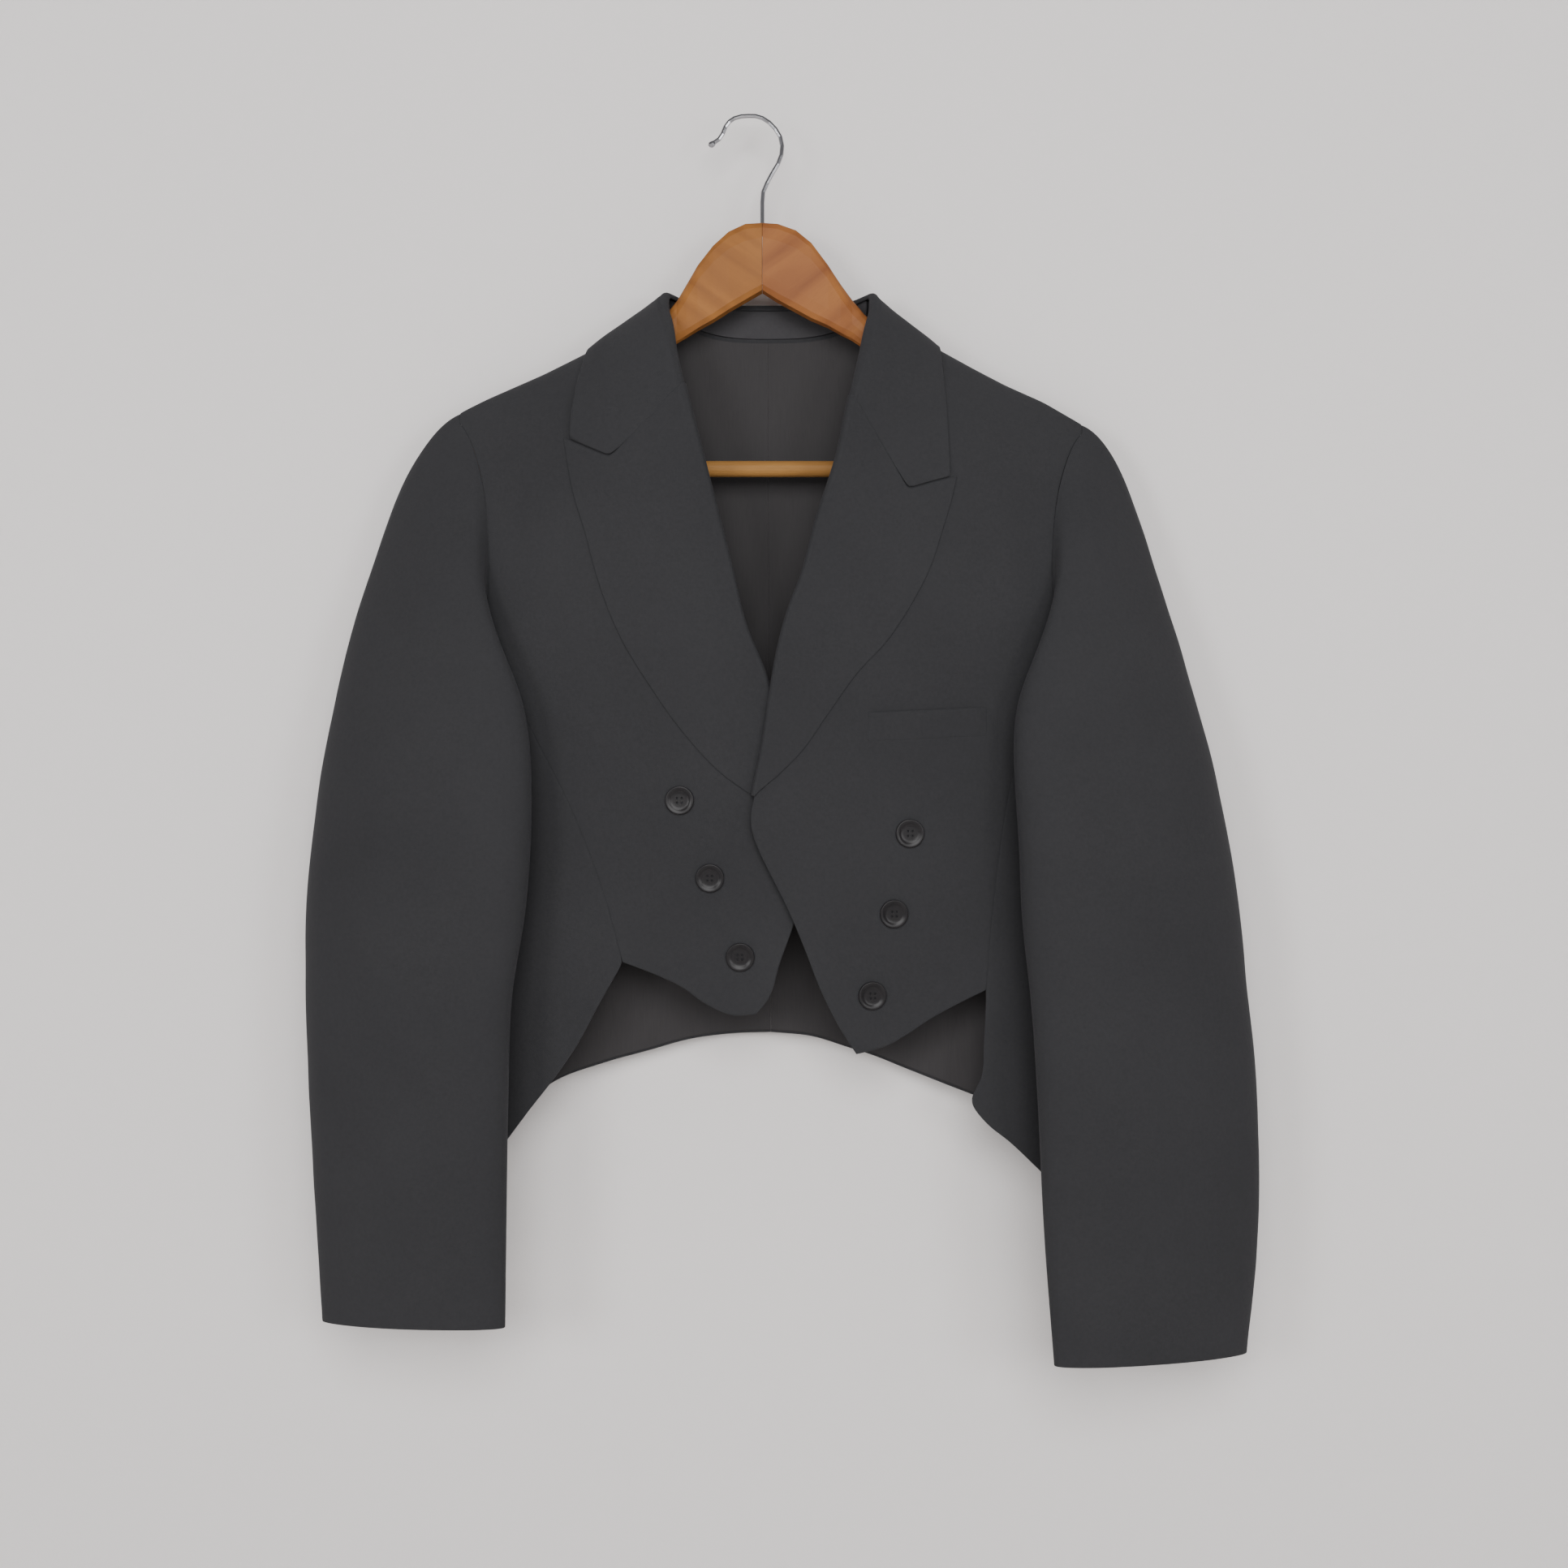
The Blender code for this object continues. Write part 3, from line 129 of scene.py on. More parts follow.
def wool_finish(name, deep, lifted, sheen):
    finish, tree, shader, place = new_finish(name, {
        "Roughness": 0.92, "Sheen Weight": sheen, "Sheen Roughness": 0.45,
        "Sheen Tint": hex_colour("a8a6ae"), "Specular IOR Level": 0.25,
    })
    weave = node(tree, "ShaderNodeUVMap", {"uv_map": "cloth"}).outputs["UV"]
    nap = node(tree, "ShaderNodeTexNoise", values={"Scale": 420.0, "Detail": 3.0, "Roughness": 0.65},
               links={"Vector": place}).outputs["Fac"]
    haze = node(tree, "ShaderNodeTexNoise", values={"Scale": 9.0, "Detail": 2.0, "Roughness": 0.5},
                links={"Vector": place}).outputs["Fac"]
    both = node(tree, "ShaderNodeMath", {"operation": "MULTIPLY_ADD"}, {1: 0.8}, {0: haze, 2: nap})
    colour = node(tree, "ShaderNodeMapRange", values={"From Min": 0.45, "From Max": 1.35},
                  links={"Value": both.outputs[0]})
    mix = node(tree, "ShaderNodeMix", {"data_type": "RGBA"}, {6: hex_colour(deep), 7: hex_colour(lifted)},
               {0: colour.outputs["Result"]})
    tree.links.new(mix.outputs[2], shader.inputs["Base Color"])
    turned = node(tree, "ShaderNodeMapping", links={"Vector": weave}, values={
        "Rotation": (0, 0, math.radians(TWILL_ANGLE)), "Scale": (TWILL_SCALE,) * 3})
    twill = node(tree, "ShaderNodeTexWave", {"bands_direction": "X"},
                 {"Scale": 1.0, "Distortion": 1.2, "Detail": 1.0, "Detail Scale": 2.0},
                 {"Vector": turned.outputs[0]}).outputs["Fac"]
    height = node(tree, "ShaderNodeMath", {"operation": "MULTIPLY_ADD"}, {1: 0.35}, {0: twill, 2: nap})
    bump = node(tree, "ShaderNodeBump", values={"Strength": 0.35, "Distance": 0.0004},
                links={"Height": height.outputs[0]})
    tree.links.new(bump.outputs[0], shader.inputs["Normal"])
    return finish


wool = wool_finish("wool_flannel_black", "232325", "2b2b2d", 0.08)
# The under collar and the stand are felt, a real cloth of their own. Their colour is set lighter than the
# wool as painted light, to lift the shade inside the neck.
under_felt_shade_lifted = wool_finish("wool_felt_under_collar_shade_lifted", "302f31", "383739", 0.10)
print("finishes:", wool.name, under_felt_shade_lifted.name)

# %% [markdown]
# ## Lining
# The lining is a black viscose satin. Its long floats lie flat, so it is smoother than the wool and
# has a soft gloss, and in the photograph it looks slightly brown beside the wool.

# %% Lining finish
def satin_finish(name, deep, lifted):
    finish, tree, shader, place = new_finish(name, {"Roughness": 0.7, "Specular IOR Level": 0.2})
    threads = node(tree, "ShaderNodeMapping", values={"Scale": (900, 900, 60)}, links={"Vector": place})
    streak = node(tree, "ShaderNodeTexNoise", values={"Scale": 1.0, "Detail": 2.0},
                  links={"Vector": threads.outputs[0]}).outputs["Fac"]
    mix = node(tree, "ShaderNodeMix", {"data_type": "RGBA"}, {6: hex_colour(deep), 7: hex_colour(lifted)},
               {0: streak})
    tree.links.new(mix.outputs[2], shader.inputs["Base Color"])
    bump = node(tree, "ShaderNodeBump", values={"Strength": 0.2, "Distance": 0.0003},
                links={"Height": streak})
    tree.links.new(bump.outputs[0], shader.inputs["Normal"])
    return finish


satin = satin_finish("viscose_satin_lining", "282627", "2d2b2c")
print("finish:", satin.name)

# %% [markdown]
# ## Lacquered beech
# Each half of the hanger is bent beech under a satin lacquer. Its grain runs along the arm as fine
# dark flecks, with slow bands of paler and redder wood between them. The two halves were cut from
# different boards, so one is orange and the other redder. The bar is a turned dowel of paler wood.

# %% Wood finish
def wood_finish(name, pale, middle, dark, slope):
    finish, tree, shader, place = new_finish(name, {
        "Roughness": 0.5, "Specular IOR Level": 0.11, "Coat Weight": 0.02, "Coat Roughness": 0.35})
    turned = node(tree, "ShaderNodeMapping", values={"Rotation": (0, math.radians(slope), 0)},
                  links={"Vector": place}).outputs[0]
    long_grain = node(tree, "ShaderNodeMapping", values={"Scale": (5, 42, 42)}, links={"Vector": turned})
    bands = node(tree, "ShaderNodeTexNoise", links={"Vector": long_grain.outputs[0]}, values={
        "Scale": 1.0, "Detail": 4.0, "Roughness": 0.5, "Distortion": 0.8}).outputs["Fac"]
    fleck_grain = node(tree, "ShaderNodeMapping", values={"Scale": (90, 1100, 1100)},
                       links={"Vector": turned})
    flecks = node(tree, "ShaderNodeTexNoise", values={"Scale": 1.0, "Detail": 2.0, "Roughness": 0.7},
                  links={"Vector": fleck_grain.outputs[0]}).outputs["Fac"]
    ramp = node(tree, "ShaderNodeValToRGB", links={"Fac": bands})
    ramp.color_ramp.elements[0].position = 0.25
    ramp.color_ramp.elements[0].color = hex_colour(dark)
    ramp.color_ramp.elements[1].position = 0.75
    ramp.color_ramp.elements[1].color = hex_colour(pale)
    ramp.color_ramp.elements.new(0.5).color = hex_colour(middle)
    fleck_share = node(tree, "ShaderNodeMapRange", values={"From Min": 0.58, "From Max": 0.78, "To Max": 0.4},
                       links={"Value": flecks}).outputs["Result"]
    mix = node(tree, "ShaderNodeMix", {"data_type": "RGBA"}, {7: hex_colour(dark)},
               {0: fleck_share, 6: ramp.outputs["Color"]})
    tree.links.new(mix.outputs[2], shader.inputs["Base Color"])
    bump = node(tree, "ShaderNodeBump", values={"Strength": 0.15, "Distance": 0.0002},
                links={"Height": flecks})
    tree.links.new(bump.outputs[0], shader.inputs["Normal"])
    return finish


ARM_SLOPE = 38
beech_left = wood_finish("beech_lacquered_orange", "8f5e2f", "85562a", "724724", -ARM_SLOPE)
beech_right = wood_finish("beech_lacquered_red", "905d30", "82512c", "6f4124", ARM_SLOPE)
beech_bar = wood_finish("beech_dowel_lacquered", "9c743f", "906838", "78532b", 0)
print("finishes:", beech_left.name, beech_right.name, beech_bar.name)

# %% [markdown]
# ## Chrome wire and horn
# The hook is drawn steel wire with bright chrome, so it mirrors the room in thin lines. The buttons
# are polished black horn: half gloss, with slow brown clouds that show only in strong light.

# %% Chrome and horn finishes
def chrome_finish(name):
    finish, tree, shader, place = new_finish(name, {"Base Color": hex_colour("9a9a9e"), "Metallic": 1.0})
    haze = node(tree, "ShaderNodeTexNoise", values={"Scale": 300.0, "Detail": 2.0}, links={"Vector": place})
    rough = node(tree, "ShaderNodeMapRange", values={"To Min": 0.10, "To Max": 0.26},
                 links={"Value": haze.outputs["Fac"]})
    tree.links.new(rough.outputs["Result"], shader.inputs["Roughness"])
    return finish


def horn_finish(name):
    finish, tree, shader, place = new_finish(name, {"Roughness": 0.28, "Specular IOR Level": 0.16})
    cloud = node(tree, "ShaderNodeTexNoise", values={"Scale": 120.0, "Detail": 3.0}, links={"Vector": place})
    colours = {6: hex_colour("161517"), 7: hex_colour("1e1c1d")}
    mix = node(tree, "ShaderNodeMix", {"data_type": "RGBA"}, colours, {0: cloud.outputs["Fac"]})
    tree.links.new(mix.outputs[2], shader.inputs["Base Color"])
    return finish


chrome = chrome_finish("steel_wire_chromed")
horn = horn_finish("horn_black_polished")
print("finishes:", chrome.name, horn.name)

# %% [markdown]
# ## Wall, floor and light
# The jacket hangs against a pale wall. The wall and the floor belong to the stage, not to the object.
# A large soft lamp above the camera and two smaller ones beside it give the even light and the wide,
# faint shadows. A fourth stands behind the wall, for a look at the back with the wall taken away.

# %% Stage and lamps
WALL_DEPTH = 0.037
WALL_SIZE = 4.0
FLOOR_HEIGHT = -1.25
FLOOR_SIZE = 8.0


def stage_finish(name, colour):
    finish, tree, shader, place = new_finish(name, {"Base Color": hex_colour(colour), "Roughness": 0.9})
    grain = node(tree, "ShaderNodeTexNoise", values={"Scale": 320.0, "Detail": 3.0}, links={"Vector": place})
    bump = node(tree, "ShaderNodeBump", values={"Strength": 0.25, "Distance": 0.0006},
                links={"Height": grain.outputs["Fac"]})
    tree.links.new(bump.outputs[0], shader.inputs["Normal"])
    return finish


def stage_plate(name, size, location, rotation, finish):
    bpy.ops.object.select_all(action="DESELECT")
    bpy.ops.mesh.primitive_plane_add(size=size, location=location, rotation=rotation)
    plate = bpy.context.object
    plate.name = name
    plate.data.materials.append(finish)


stage_plate("wall", WALL_SIZE, (VIEW_ACROSS, WALL_DEPTH, FLOOR_HEIGHT + WALL_SIZE / 2),
            (math.radians(90), 0, 0), stage_finish("matt_wall_paint", "d6d2d1"))
stage_plate("floor", FLOOR_SIZE, (VIEW_ACROSS, 0, FLOOR_HEIGHT), (0, 0, 0),
            stage_finish("matt_floor_paint", "d9d6d3"))


def lamp(name, power, size, location, target):
    data = bpy.data.lights.new(name, "AREA")
    data.shape = "DISK"
    data.energy = power
    data.size = size
    made = bpy.data.objects.new(name, data)
    bpy.context.scene.collection.objects.link(made)
    made.location = location
    made.rotation_euler = (Vector(target) - Vector(location)).to_track_quat("-Z", "Y").to_euler()


lamp("key_lamp", 100.0, 2.0, (0.1, -3.2, 0.5), (0.03, 0, -0.5))
lamp("left_lamp", 28.0, 0.9, (-1.5, -2.7, -0.2), (0, 0, -0.6))
lamp("right_lamp", 20.0, 0.9, (1.5, -2.7, -0.3), (0, 0, -0.6))
lamp("back_lamp", 14.0, 1.5, (0.3, 1.8, 0.9), (0, 0, -0.45))
world = bpy.data.worlds.new("room")
world.use_nodes = True
background = world.node_tree.nodes["Background"]
background.inputs["Color"].default_value = hex_colour("e9e8e8")
background.inputs["Strength"].default_value = 0.40
bpy.context.scene.world = world
print("wall at", WALL_DEPTH, "floor at", FLOOR_HEIGHT)

# %% [markdown]
# ## Tables of the jacket's form
# The body is a stack of soft rectangles, one per height, that grow thinner toward the shoulder line.
# Outlines of panels, lapels and collar are short tables of places in the front view. These are the
# same sizes that the solids were made from, so the fine cloth lies where the solids do.

# %% Form of the body
# Squareness of a level, drop below the shoulder line at which front and back are full, and how they swell
FULLNESS = 2.3
FRONT_REACH = 130.0
FRONT_POWER = 0.65
BACK_REACH = 60.0
BACK_POWER = 0.6
CENTRE = 16.0
BODY_MIDDLE = -300.0

# height, half width, middle depth, front depth, back depth
BODY_LEVELS = (
    (-760, 212, -4, 33, 24),
    (-660, 206, -4, 36, 24),
    (-560, 202, -5, 40, 22),
    (-480, 208, -4, 43, 24),
    (-400, 222, -3, 44, 26),
    (-290, 236, -1, 45, 27),
    (-120, 236, 0, 44, 27),
)

# across, height of the shoulder line
SHOULDER_LINE = (
    (-222, -221),
    (-216, -217),
    (-203, -209),
    (-187, -201),
    (-146, -183),
    (-116, -168),
    (-88, -153),
    (-71, -142),
    (-58, -132),
    (14, -96),
    (88, -133),
    (99, -143),
    (115, -154),
    (132, -163),
    (161, -179),
    (184, -191),
    (211, -203),
    (242, -221),
    (248, -225),
)

# turn round the armhole from the shoulder over the front, half reach, rise from the armpit
ARMHOLE = (
    (0, 230, 1.00),
    (30, 215, 0.91),
    (60, 203, 0.72),
    (90, 198, 0.48),
    (120, 200, 0.25),
    (150, 210, 0.07),
    (180, 223, 0.00),
    (210, 216, 0.07),
    (240, 211, 0.26),
    (270, 209, 0.50),
    (300, 212, 0.74),
    (330, 219, 0.92),
    (360, 230, 1.00),
)
ARMHOLE_BOTTOM = -400.0
FRONT_SEAM_TURN = 142.0
BACK_SEAM_TURN = 232.0

# %% Outlines of the panels
# Front panels: across and height, from the lowest row to the neck, and from the hem corner to the armhole
LEFT_FRONT_EDGE = (
    (6, -636), (15, -625), (22, -602), (32, -574), (40, -543), (38, -515), (29, -495), (21, -450),
    (12, -403), (-3, -365), (-13, -325), (-22, -291), (-30, -262), (-39, -228), (-47, -197), (-53, -172),
    (-57, -148),
)
LEFT_FRONT_SEAM = ((-87, -600), (-101, -550), (-122, -495), (-148, -445), (-170, -405))
LEFT_FRONT_HEM = ((6, -636), (-9, -637), (-29, -629), (-46, -617), (-68, -607), (-87, -600))
RIGHT_FRONT_EDGE = (
    (76, -664), (64, -645), (51, -619), (39, -588), (28, -562), (14, -534), (6, -517), (2, -500),
    (5, -484), (12, -450), (18, -410), (23, -382), (31, -353), (39, -333), (51, -291), (65, -249),
    (74, -206), (82, -172), (87, -149),
)
RIGHT_FRONT_SEAM = ((167, -620), (172, -560), (180, -500), (190, -450), (202, -408))
RIGHT_FRONT_HEM = ((76, -664), (85, -662), (98, -658), (112, -650), (129, -639), (150, -628), (167, -620))

# How the rows of a front edge crowd, and how far the right front lies over the left one, out to which
# place and fading over which width
EDGE_SPACING = 1.15
FRONT_LIFT = 6.2
LIFT_END = 104.0
LIFT_RUN = 66.0

# Tails: the front edge of each side panel below the forepart, then its lowest point at the side
LEFT_TAIL_EDGE = ((-172, -729), (-154, -705), (-136, -682), (-120, -659), (-103, -628), (-87.5, -601))
RIGHT_TAIL_EDGE = (
    (209, -751), (184, -727), (167, -713), (157, -698), (164, -682), (166, -654), (167.5, -621),
)
SIDE_HEM = -744.0
SIDE_MARGIN = 0.012 / 36

# Back panels: half reach and height of the seam of back and side panel, above the hem
BACK_SEAM = ((178, -640), (180, -560), (192, -480), (203, -410))
BACK_CENTRE = ((16, -655), (16, -560), (15, -400), (14, -250), (14, -153))
NECK_SHARE = 0.3
LEFT_BACK_HEM = ((16, -655), (-13, -656), (-43, -660), (-72, -668), (-105, -677), (-142, -691), (-166, -712))
RIGHT_BACK_HEM = ((16, -655), (46, -658), (72, -666), (88, -671), (116, -682), (163, -700), (198, -712))
LEFT_NECK = (-61, -134.3)
RIGHT_NECK = (91, -135.7)

# %% Outlines of lapels and collar
LEFT_ROLL = LEFT_FRONT_EDGE[6:15]
RIGHT_ROLL = RIGHT_FRONT_EDGE[8:17]

# Lapels: lower edge from the break point, then the outer edge to the peak, then the gorge from the roll
LEFT_LAPEL_FOOT = ((29, -495), (24, -489), (1, -482))
LEFT_LAPEL_EDGE = (
    (1, -482), (-17, -469), (-46, -438), (-68, -407), (-88, -374), (-103, -337), (-114, -297),
    (-121, -275), (-126, -251), (-129, -233),
)
LEFT_GORGE = ((-47, -198), (-70, -222), (-96, -248), (-112, -241), (-129, -233))
RIGHT_LAPEL_FOOT = ((5, -484), (8, -481), (22, -469))
RIGHT_LAPEL_EDGE = (
    (22, -469), (36, -455), (56, -427), (76, -399), (98, -375), (112, -354), (128, -323), (136, -298),
    (142, -278), (146, -261),
)
RIGHT_GORGE = ((74, -207), (94, -240), (112, -271), (128, -266), (146, -261))
# Radius of the roll, how far it springs up near the top, how thin the edge is pressed, turn of the curl,
# and the share of the gorge at which it has its corner
ROLL_RADIUS = 2.7
LAPEL_SPRING = 1.6
EDGE_THIN = 0.35
LAPEL_CURL = (200.0, 20.0)
CORNER = 0.668

# Collar: centre of its roll over the neckline, way that it faces and rises there, and its outer edge
# across, depth, height, outward turn, upward share, edge across, edge depth, edge height
LEFT_COLLAR = (
    (-47.8, -34, -196, 0, 0.00, -124, -43, -232),
    (-52.5, -27, -176, 10, 0.10, -124, -37, -213),
    (-56.5, -19, -156, 35, 0.45, -121, -27, -190),
    (-59.0, -10.5, -139.5, 65, 0.85, -117, -13, -173),
    (-59.5, 0, -128, 90, 1.00, -112, 0, -163),
    (-55.5, 8, -127.5, 112, 1.00, -104, 13, -167),
    (-45.0, 16, -130.5, 140, 1.00, -84, 25, -173),
    (-23.0, 22, -132, 165, 1.00, -45, 30, -175),
    (14.0, 24.5, -132, 180, 1.00, 14, 31, -175),
)
RIGHT_COLLAR = (
    (74.8, -37, -205, 0, 0.00, 142, -44, -258),
    (80.0, -29, -182, 10, 0.10, 141, -37, -224),
    (85.0, -20, -159, 35, 0.45, 139, -27, -197),
    (88.5, -11.5, -141, 65, 0.85, 136, -13, -177),
    (89.5, 0, -128.5, 90, 1.00, 134, 0, -164),
    (85.5, 8, -128, 112, 1.00, 127, 13, -168),
    (75.0, 16, -130.5, 140, 1.00, 109, 25, -174),
    (52.0, 22, -132, 165, 1.00, 74, 30, -176),
    (14.0, 24.5, -132, 180, 1.00, 14, 31, -175),
)
# The roll's radius, how the leaf bulges, turn of its curl, how far it stands off the panels, the ridge
# over the shoulder, and the height at which the curl joins the front's edge
COLLAR_ROLL = 3.5
COLLAR_BULGE = 1.2
COLLAR_CURL = (200.0, 30.0)
COLLAR_LIFT = 4.0
RIDGE_LIFT = 3.8
RIDGE_REACH = 22.0
EDGE_DROP = 0.6
NECK_JOIN = -138.0
NECK_BLEND = 8.0
# The collar's lower end follows the gorge, opens past the corner into the notch, and lies flat there
GORGE_FADE = 6
NOTCH_REACH = 0.955
NOTCH_GAP = 0.1
SLIT = 1.1
SLIT_START = 0.5
SLIT_RUN = 0.17
SEAM_LIFT = 2.0
SEAM_SPRING = 0.8
SEAM_FADE = 0.2
STAND_START = 0.56
STAND_GAP = 0.25

# %% Outlines of the sleeves
# Sleeves: outer point and inner point across, deep and high, then the half depth
LEFT_SLEEVE = (
    (-282, -6, -368, -150, -66, -424, 24),
    (-291, -11, -409, -148, -69, -460, 27),
    (-301, -17, -470, -148, -71, -505, 30),
    (-308, -24, -540, -152, -69, -562, 30),
    (-309, -30, -610, -161, -71, -622, 28),
    (-306, -36, -680, -163, -73, -686, 26),
    (-300, -42, -765, -164, -73, -766, 22),
    (-295, -46, -848, -165, -71, -847, 17),
)
RIGHT_SLEEVE = (
    (305, -6, -375, 181, -66, -428, 24),
    (318, -11, -420, 184, -69, -470, 27),
    (331, -17, -478, 187, -71, -515, 30),
    (342, -24, -545, 189, -69, -567, 30),
    (349, -30, -615, 195, -71, -628, 28),
    (355, -36, -690, 199, -73, -694, 26),
    (355, -42, -780, 203, -74, -782, 22),
    (347, -46, -870, 210, -72, -873, 17),
)
# Turn of the rings against the armhole, distance from the body, where it does not count near the
# shoulder, slits at armhole and seams, and how strongly the cap's two ends pull on its curve
SLEEVE_TWIST = 56.0
SLEEVE_CLEARANCE = 4.0
SHOULDER_FREE = 20.0
ARMHOLE_GAP = 0.06
SLEEVE_SEAM = 0.04
START_PULL = 0.5
END_PULL = 0.8
END_SWELL = 0.22
# The back of the under sleeve passes below the armpit: turns on its rings, drop, share of the length
UNDER_TURNS = (205.0, 340.0)
UNDER_DROP = 100.0
UNDER_FADE = 0.5
# turn round the armhole, way in which the sleeve leaves it: outward, forward, down
SLEEVE_START = (
    (0, 1.20, 0.00, 0.46),
    (45, 0.80, 0.40, 0.55),
    (90, 0.50, 0.70, 0.50),
    (125, 0.45, 0.80, 0.40),
    (160, 0.30, 0.40, 0.80),
    (180, 0.30, 0.20, 1.00),
    (200, 0.80, 0.10, 1.00),
    (225, 1.30, 0.00, 1.10),
    (250, 1.30, -0.10, 1.10),
    (275, 0.80, -0.30, 0.70),
    (300, 0.80, -0.30, 0.55),
    (330, 0.90, -0.20, 0.55),
    (360, 1.20, 0.00, 0.46),
)
TOP_SEAM = 152.0
UNDER_SEAM = 296.0
print("tables read: body levels", len(BODY_LEVELS), "sleeve rings", len(LEFT_SLEEVE))

# %% [markdown]
# ## Curves through a table
# A cubic curve runs smoothly through each table's rows. The rows stand at given marks, or at their
# distance along the line.

# %% Curves
def hermite(marks, rows, at):
    slopes = np.gradient(rows, marks, axis=0)
    at = np.atleast_1d(np.asarray(at, float))
    first = np.clip(np.searchsorted(marks, at) - 1, 0, len(marks) - 2)
    span = (marks[first + 1] - marks[first])[:, None]
    t = ((at - marks[first])[:, None]) / span
    start = (2 * t**3 - 3 * t**2 + 1) * rows[first] + (t**3 - 2 * t**2 + t) * span * slopes[first]
    return start + (3 * t**2 - 2 * t**3) * rows[first + 1] + (t**3 - t**2) * span * slopes[first + 1]


def smooth(table, shares):
    """Points on the curve through a table, for shares of its length."""
    rows = np.asarray(table, float)
    lengths = np.linalg.norm(np.diff(rows, axis=0), axis=1)
    marks = np.concatenate([[0.0], np.cumsum(lengths)]) / lengths.sum()
    return hermite(marks, rows, shares)


def folded(table, shares):
    """Place along a line with sharp corners, by the share of its length."""
    rows = np.array(table, float)
    marks = np.concatenate([[0.0], np.cumsum(np.linalg.norm(np.diff(rows, axis=0), axis=1))])
    at = np.asarray(shares, float) * marks[-1]
    return np.stack([np.interp(at, marks, rows[:, i]) for i in range(rows.shape[1])], axis=-1)


def table_at(table, keys):
    rows = np.asarray(table, float)
    return hermite(rows[:, 0], rows[:, 1:], keys)


RIM_STEP = 0.14


def spread(count):
    """Shares from 0 to 1 with one more close to each end, where the cloth's edge turns."""
    inner = [i / count for i in range(1, count)]
    return np.array([0.0, RIM_STEP / count] + inner + [1 - RIM_STEP / count, 1.0])


print("middle of the left edge:", smooth(LEFT_FRONT_EDGE, 0.5).round(1))

# %% [markdown]
# ## Places on the body
# A place in the front view, across and height, becomes a point on the front or the back. The outward
# way there comes from four neighbours. A second pair of functions goes round the body by its turn.

# %% Body form
def shoulder_height(across):
    rows = np.asarray(SHOULDER_LINE, float)
    return np.interp(across, rows[:, 0], rows[:, 1])


def level(height):
    rows = np.asarray(BODY_LEVELS, float)
    height = np.asarray(height, float)
    values = hermite(rows[:, 0], rows[:, 1:], np.clip(height, rows[0, 0], rows[-1, 0]).ravel())
    return np.moveaxis(values.reshape(height.shape + (4,)), -1, 0)


def depth_share(across, height, back):
    drop = np.maximum(shoulder_height(across) - height, 0.0)
    reach = np.where(back, BACK_REACH, FRONT_REACH)
    rise = 1.0 - (1.0 - np.minimum(drop / reach, 1.0)) ** 2
    return rise ** np.where(back, BACK_POWER, FRONT_POWER)


def body_point(across, height, back):
    across, height, back = np.broadcast_arrays(across, height, back)
    half_width, middle, front_depth, back_depth = level(height)
    share = np.minimum(np.abs(across - CENTRE) / half_width, 1.0)
    fullness = (1.0 - share**FULLNESS) ** (1.0 / FULLNESS)
    rise = depth_share(across, height, back)
    depth = np.where(back, middle + back_depth * fullness * rise, middle - front_depth * fullness * rise)
    return np.stack([across, depth, height], axis=-1).astype(float)


def unit(vectors):
    return vectors / np.maximum(np.linalg.norm(vectors, axis=-1, keepdims=True), 1e-9)


SHOULDER_ROOM = 0.6


def body_normal(across, height, back):
    """Way outward, from neighbours 1 mm away. The place is kept a little below the shoulder line."""
    height = np.minimum(height, shoulder_height(across) - SHOULDER_ROOM)
    sideways = body_point(across + 1.0, height, back) - body_point(across - 1.0, height, back)
    upwards = body_point(across, height, back) - body_point(across, height - 1.0, back)
    outward = np.where(back, -1.0, 1.0)[..., None] * np.cross(sideways, upwards)
    return unit(outward)


def ring_point(turn, height, side):
    half_width, middle, front_depth, back_depth = level(height)
    angle = np.radians(turn)
    across = CENTRE + side * half_width * np.abs(np.sin(angle)) ** (2.0 / FULLNESS)
    fullness = np.abs(np.cos(angle)) ** (2.0 / FULLNESS)
    back = turn > 90.0
    rise = depth_share(across, height, back)
    depth = np.where(back, middle + back_depth * fullness * rise, middle - front_depth * fullness * rise)
    return np.stack([across, depth, height], axis=-1)


def ring_turn(across, height, back):
    share = np.minimum(np.abs(across - CENTRE) / level(height)[0], 1.0)
    turn = np.degrees(np.arcsin(share ** (FULLNESS / 2.0)))
    return np.where(back, 180.0 - turn, turn)


def ring_normal(turn, height, side):
    around = ring_point(turn + 1.0, height, side) - ring_point(turn - 1.0, height, side)
    upwards = ring_point(turn, height + 1.0, side) - ring_point(turn, height - 1.0, side)
    return unit(np.cross(around, upwards) * side)


print("chest point:", body_point(np.array(16.0), np.array(-400.0), np.array(False)).round(1))

# %% [markdown]
# ## Creases
# Hung cloth shows soft troughs and ridges. Each is a row here: its two ends in the front view, its
# height over the cloth, and its half width. No two are alike in length, depth or spacing, as on a
# worn jacket. A slow, shallow unevenness lies under them all.

# %% Creases of the body
# across and height of one end, across and height of the other, height over the cloth, half width
FRONT_CREASES = (
    (-176, -232, -158, -330, -1.6, 11), (-150, -250, -140, -370, 0.9, 16), (-128, -345, -150, -455, -1.1, 14),
    (-104, -430, -128, -560, 0.8, 15), (-70, -455, -88, -585, -0.7, 13), (-38, -520, -60, -612, 0.6, 12),
    (206, -236, 196, -345, -1.5, 12), (186, -262, 182, -420, 1.1, 17), (158, -300, 172, -410, -0.8, 13),
    (146, -450, 158, -600, 0.9, 16), (120, -470, 112, -640, -0.7, 14), (70, -500, 52, -600, 0.6, 12),
    (-120, -640, -150, -716, -0.9, 8), (190, -650, 200, -735, 1.2, 9), (176, -640, 184, -722, -1.0, 7),
)
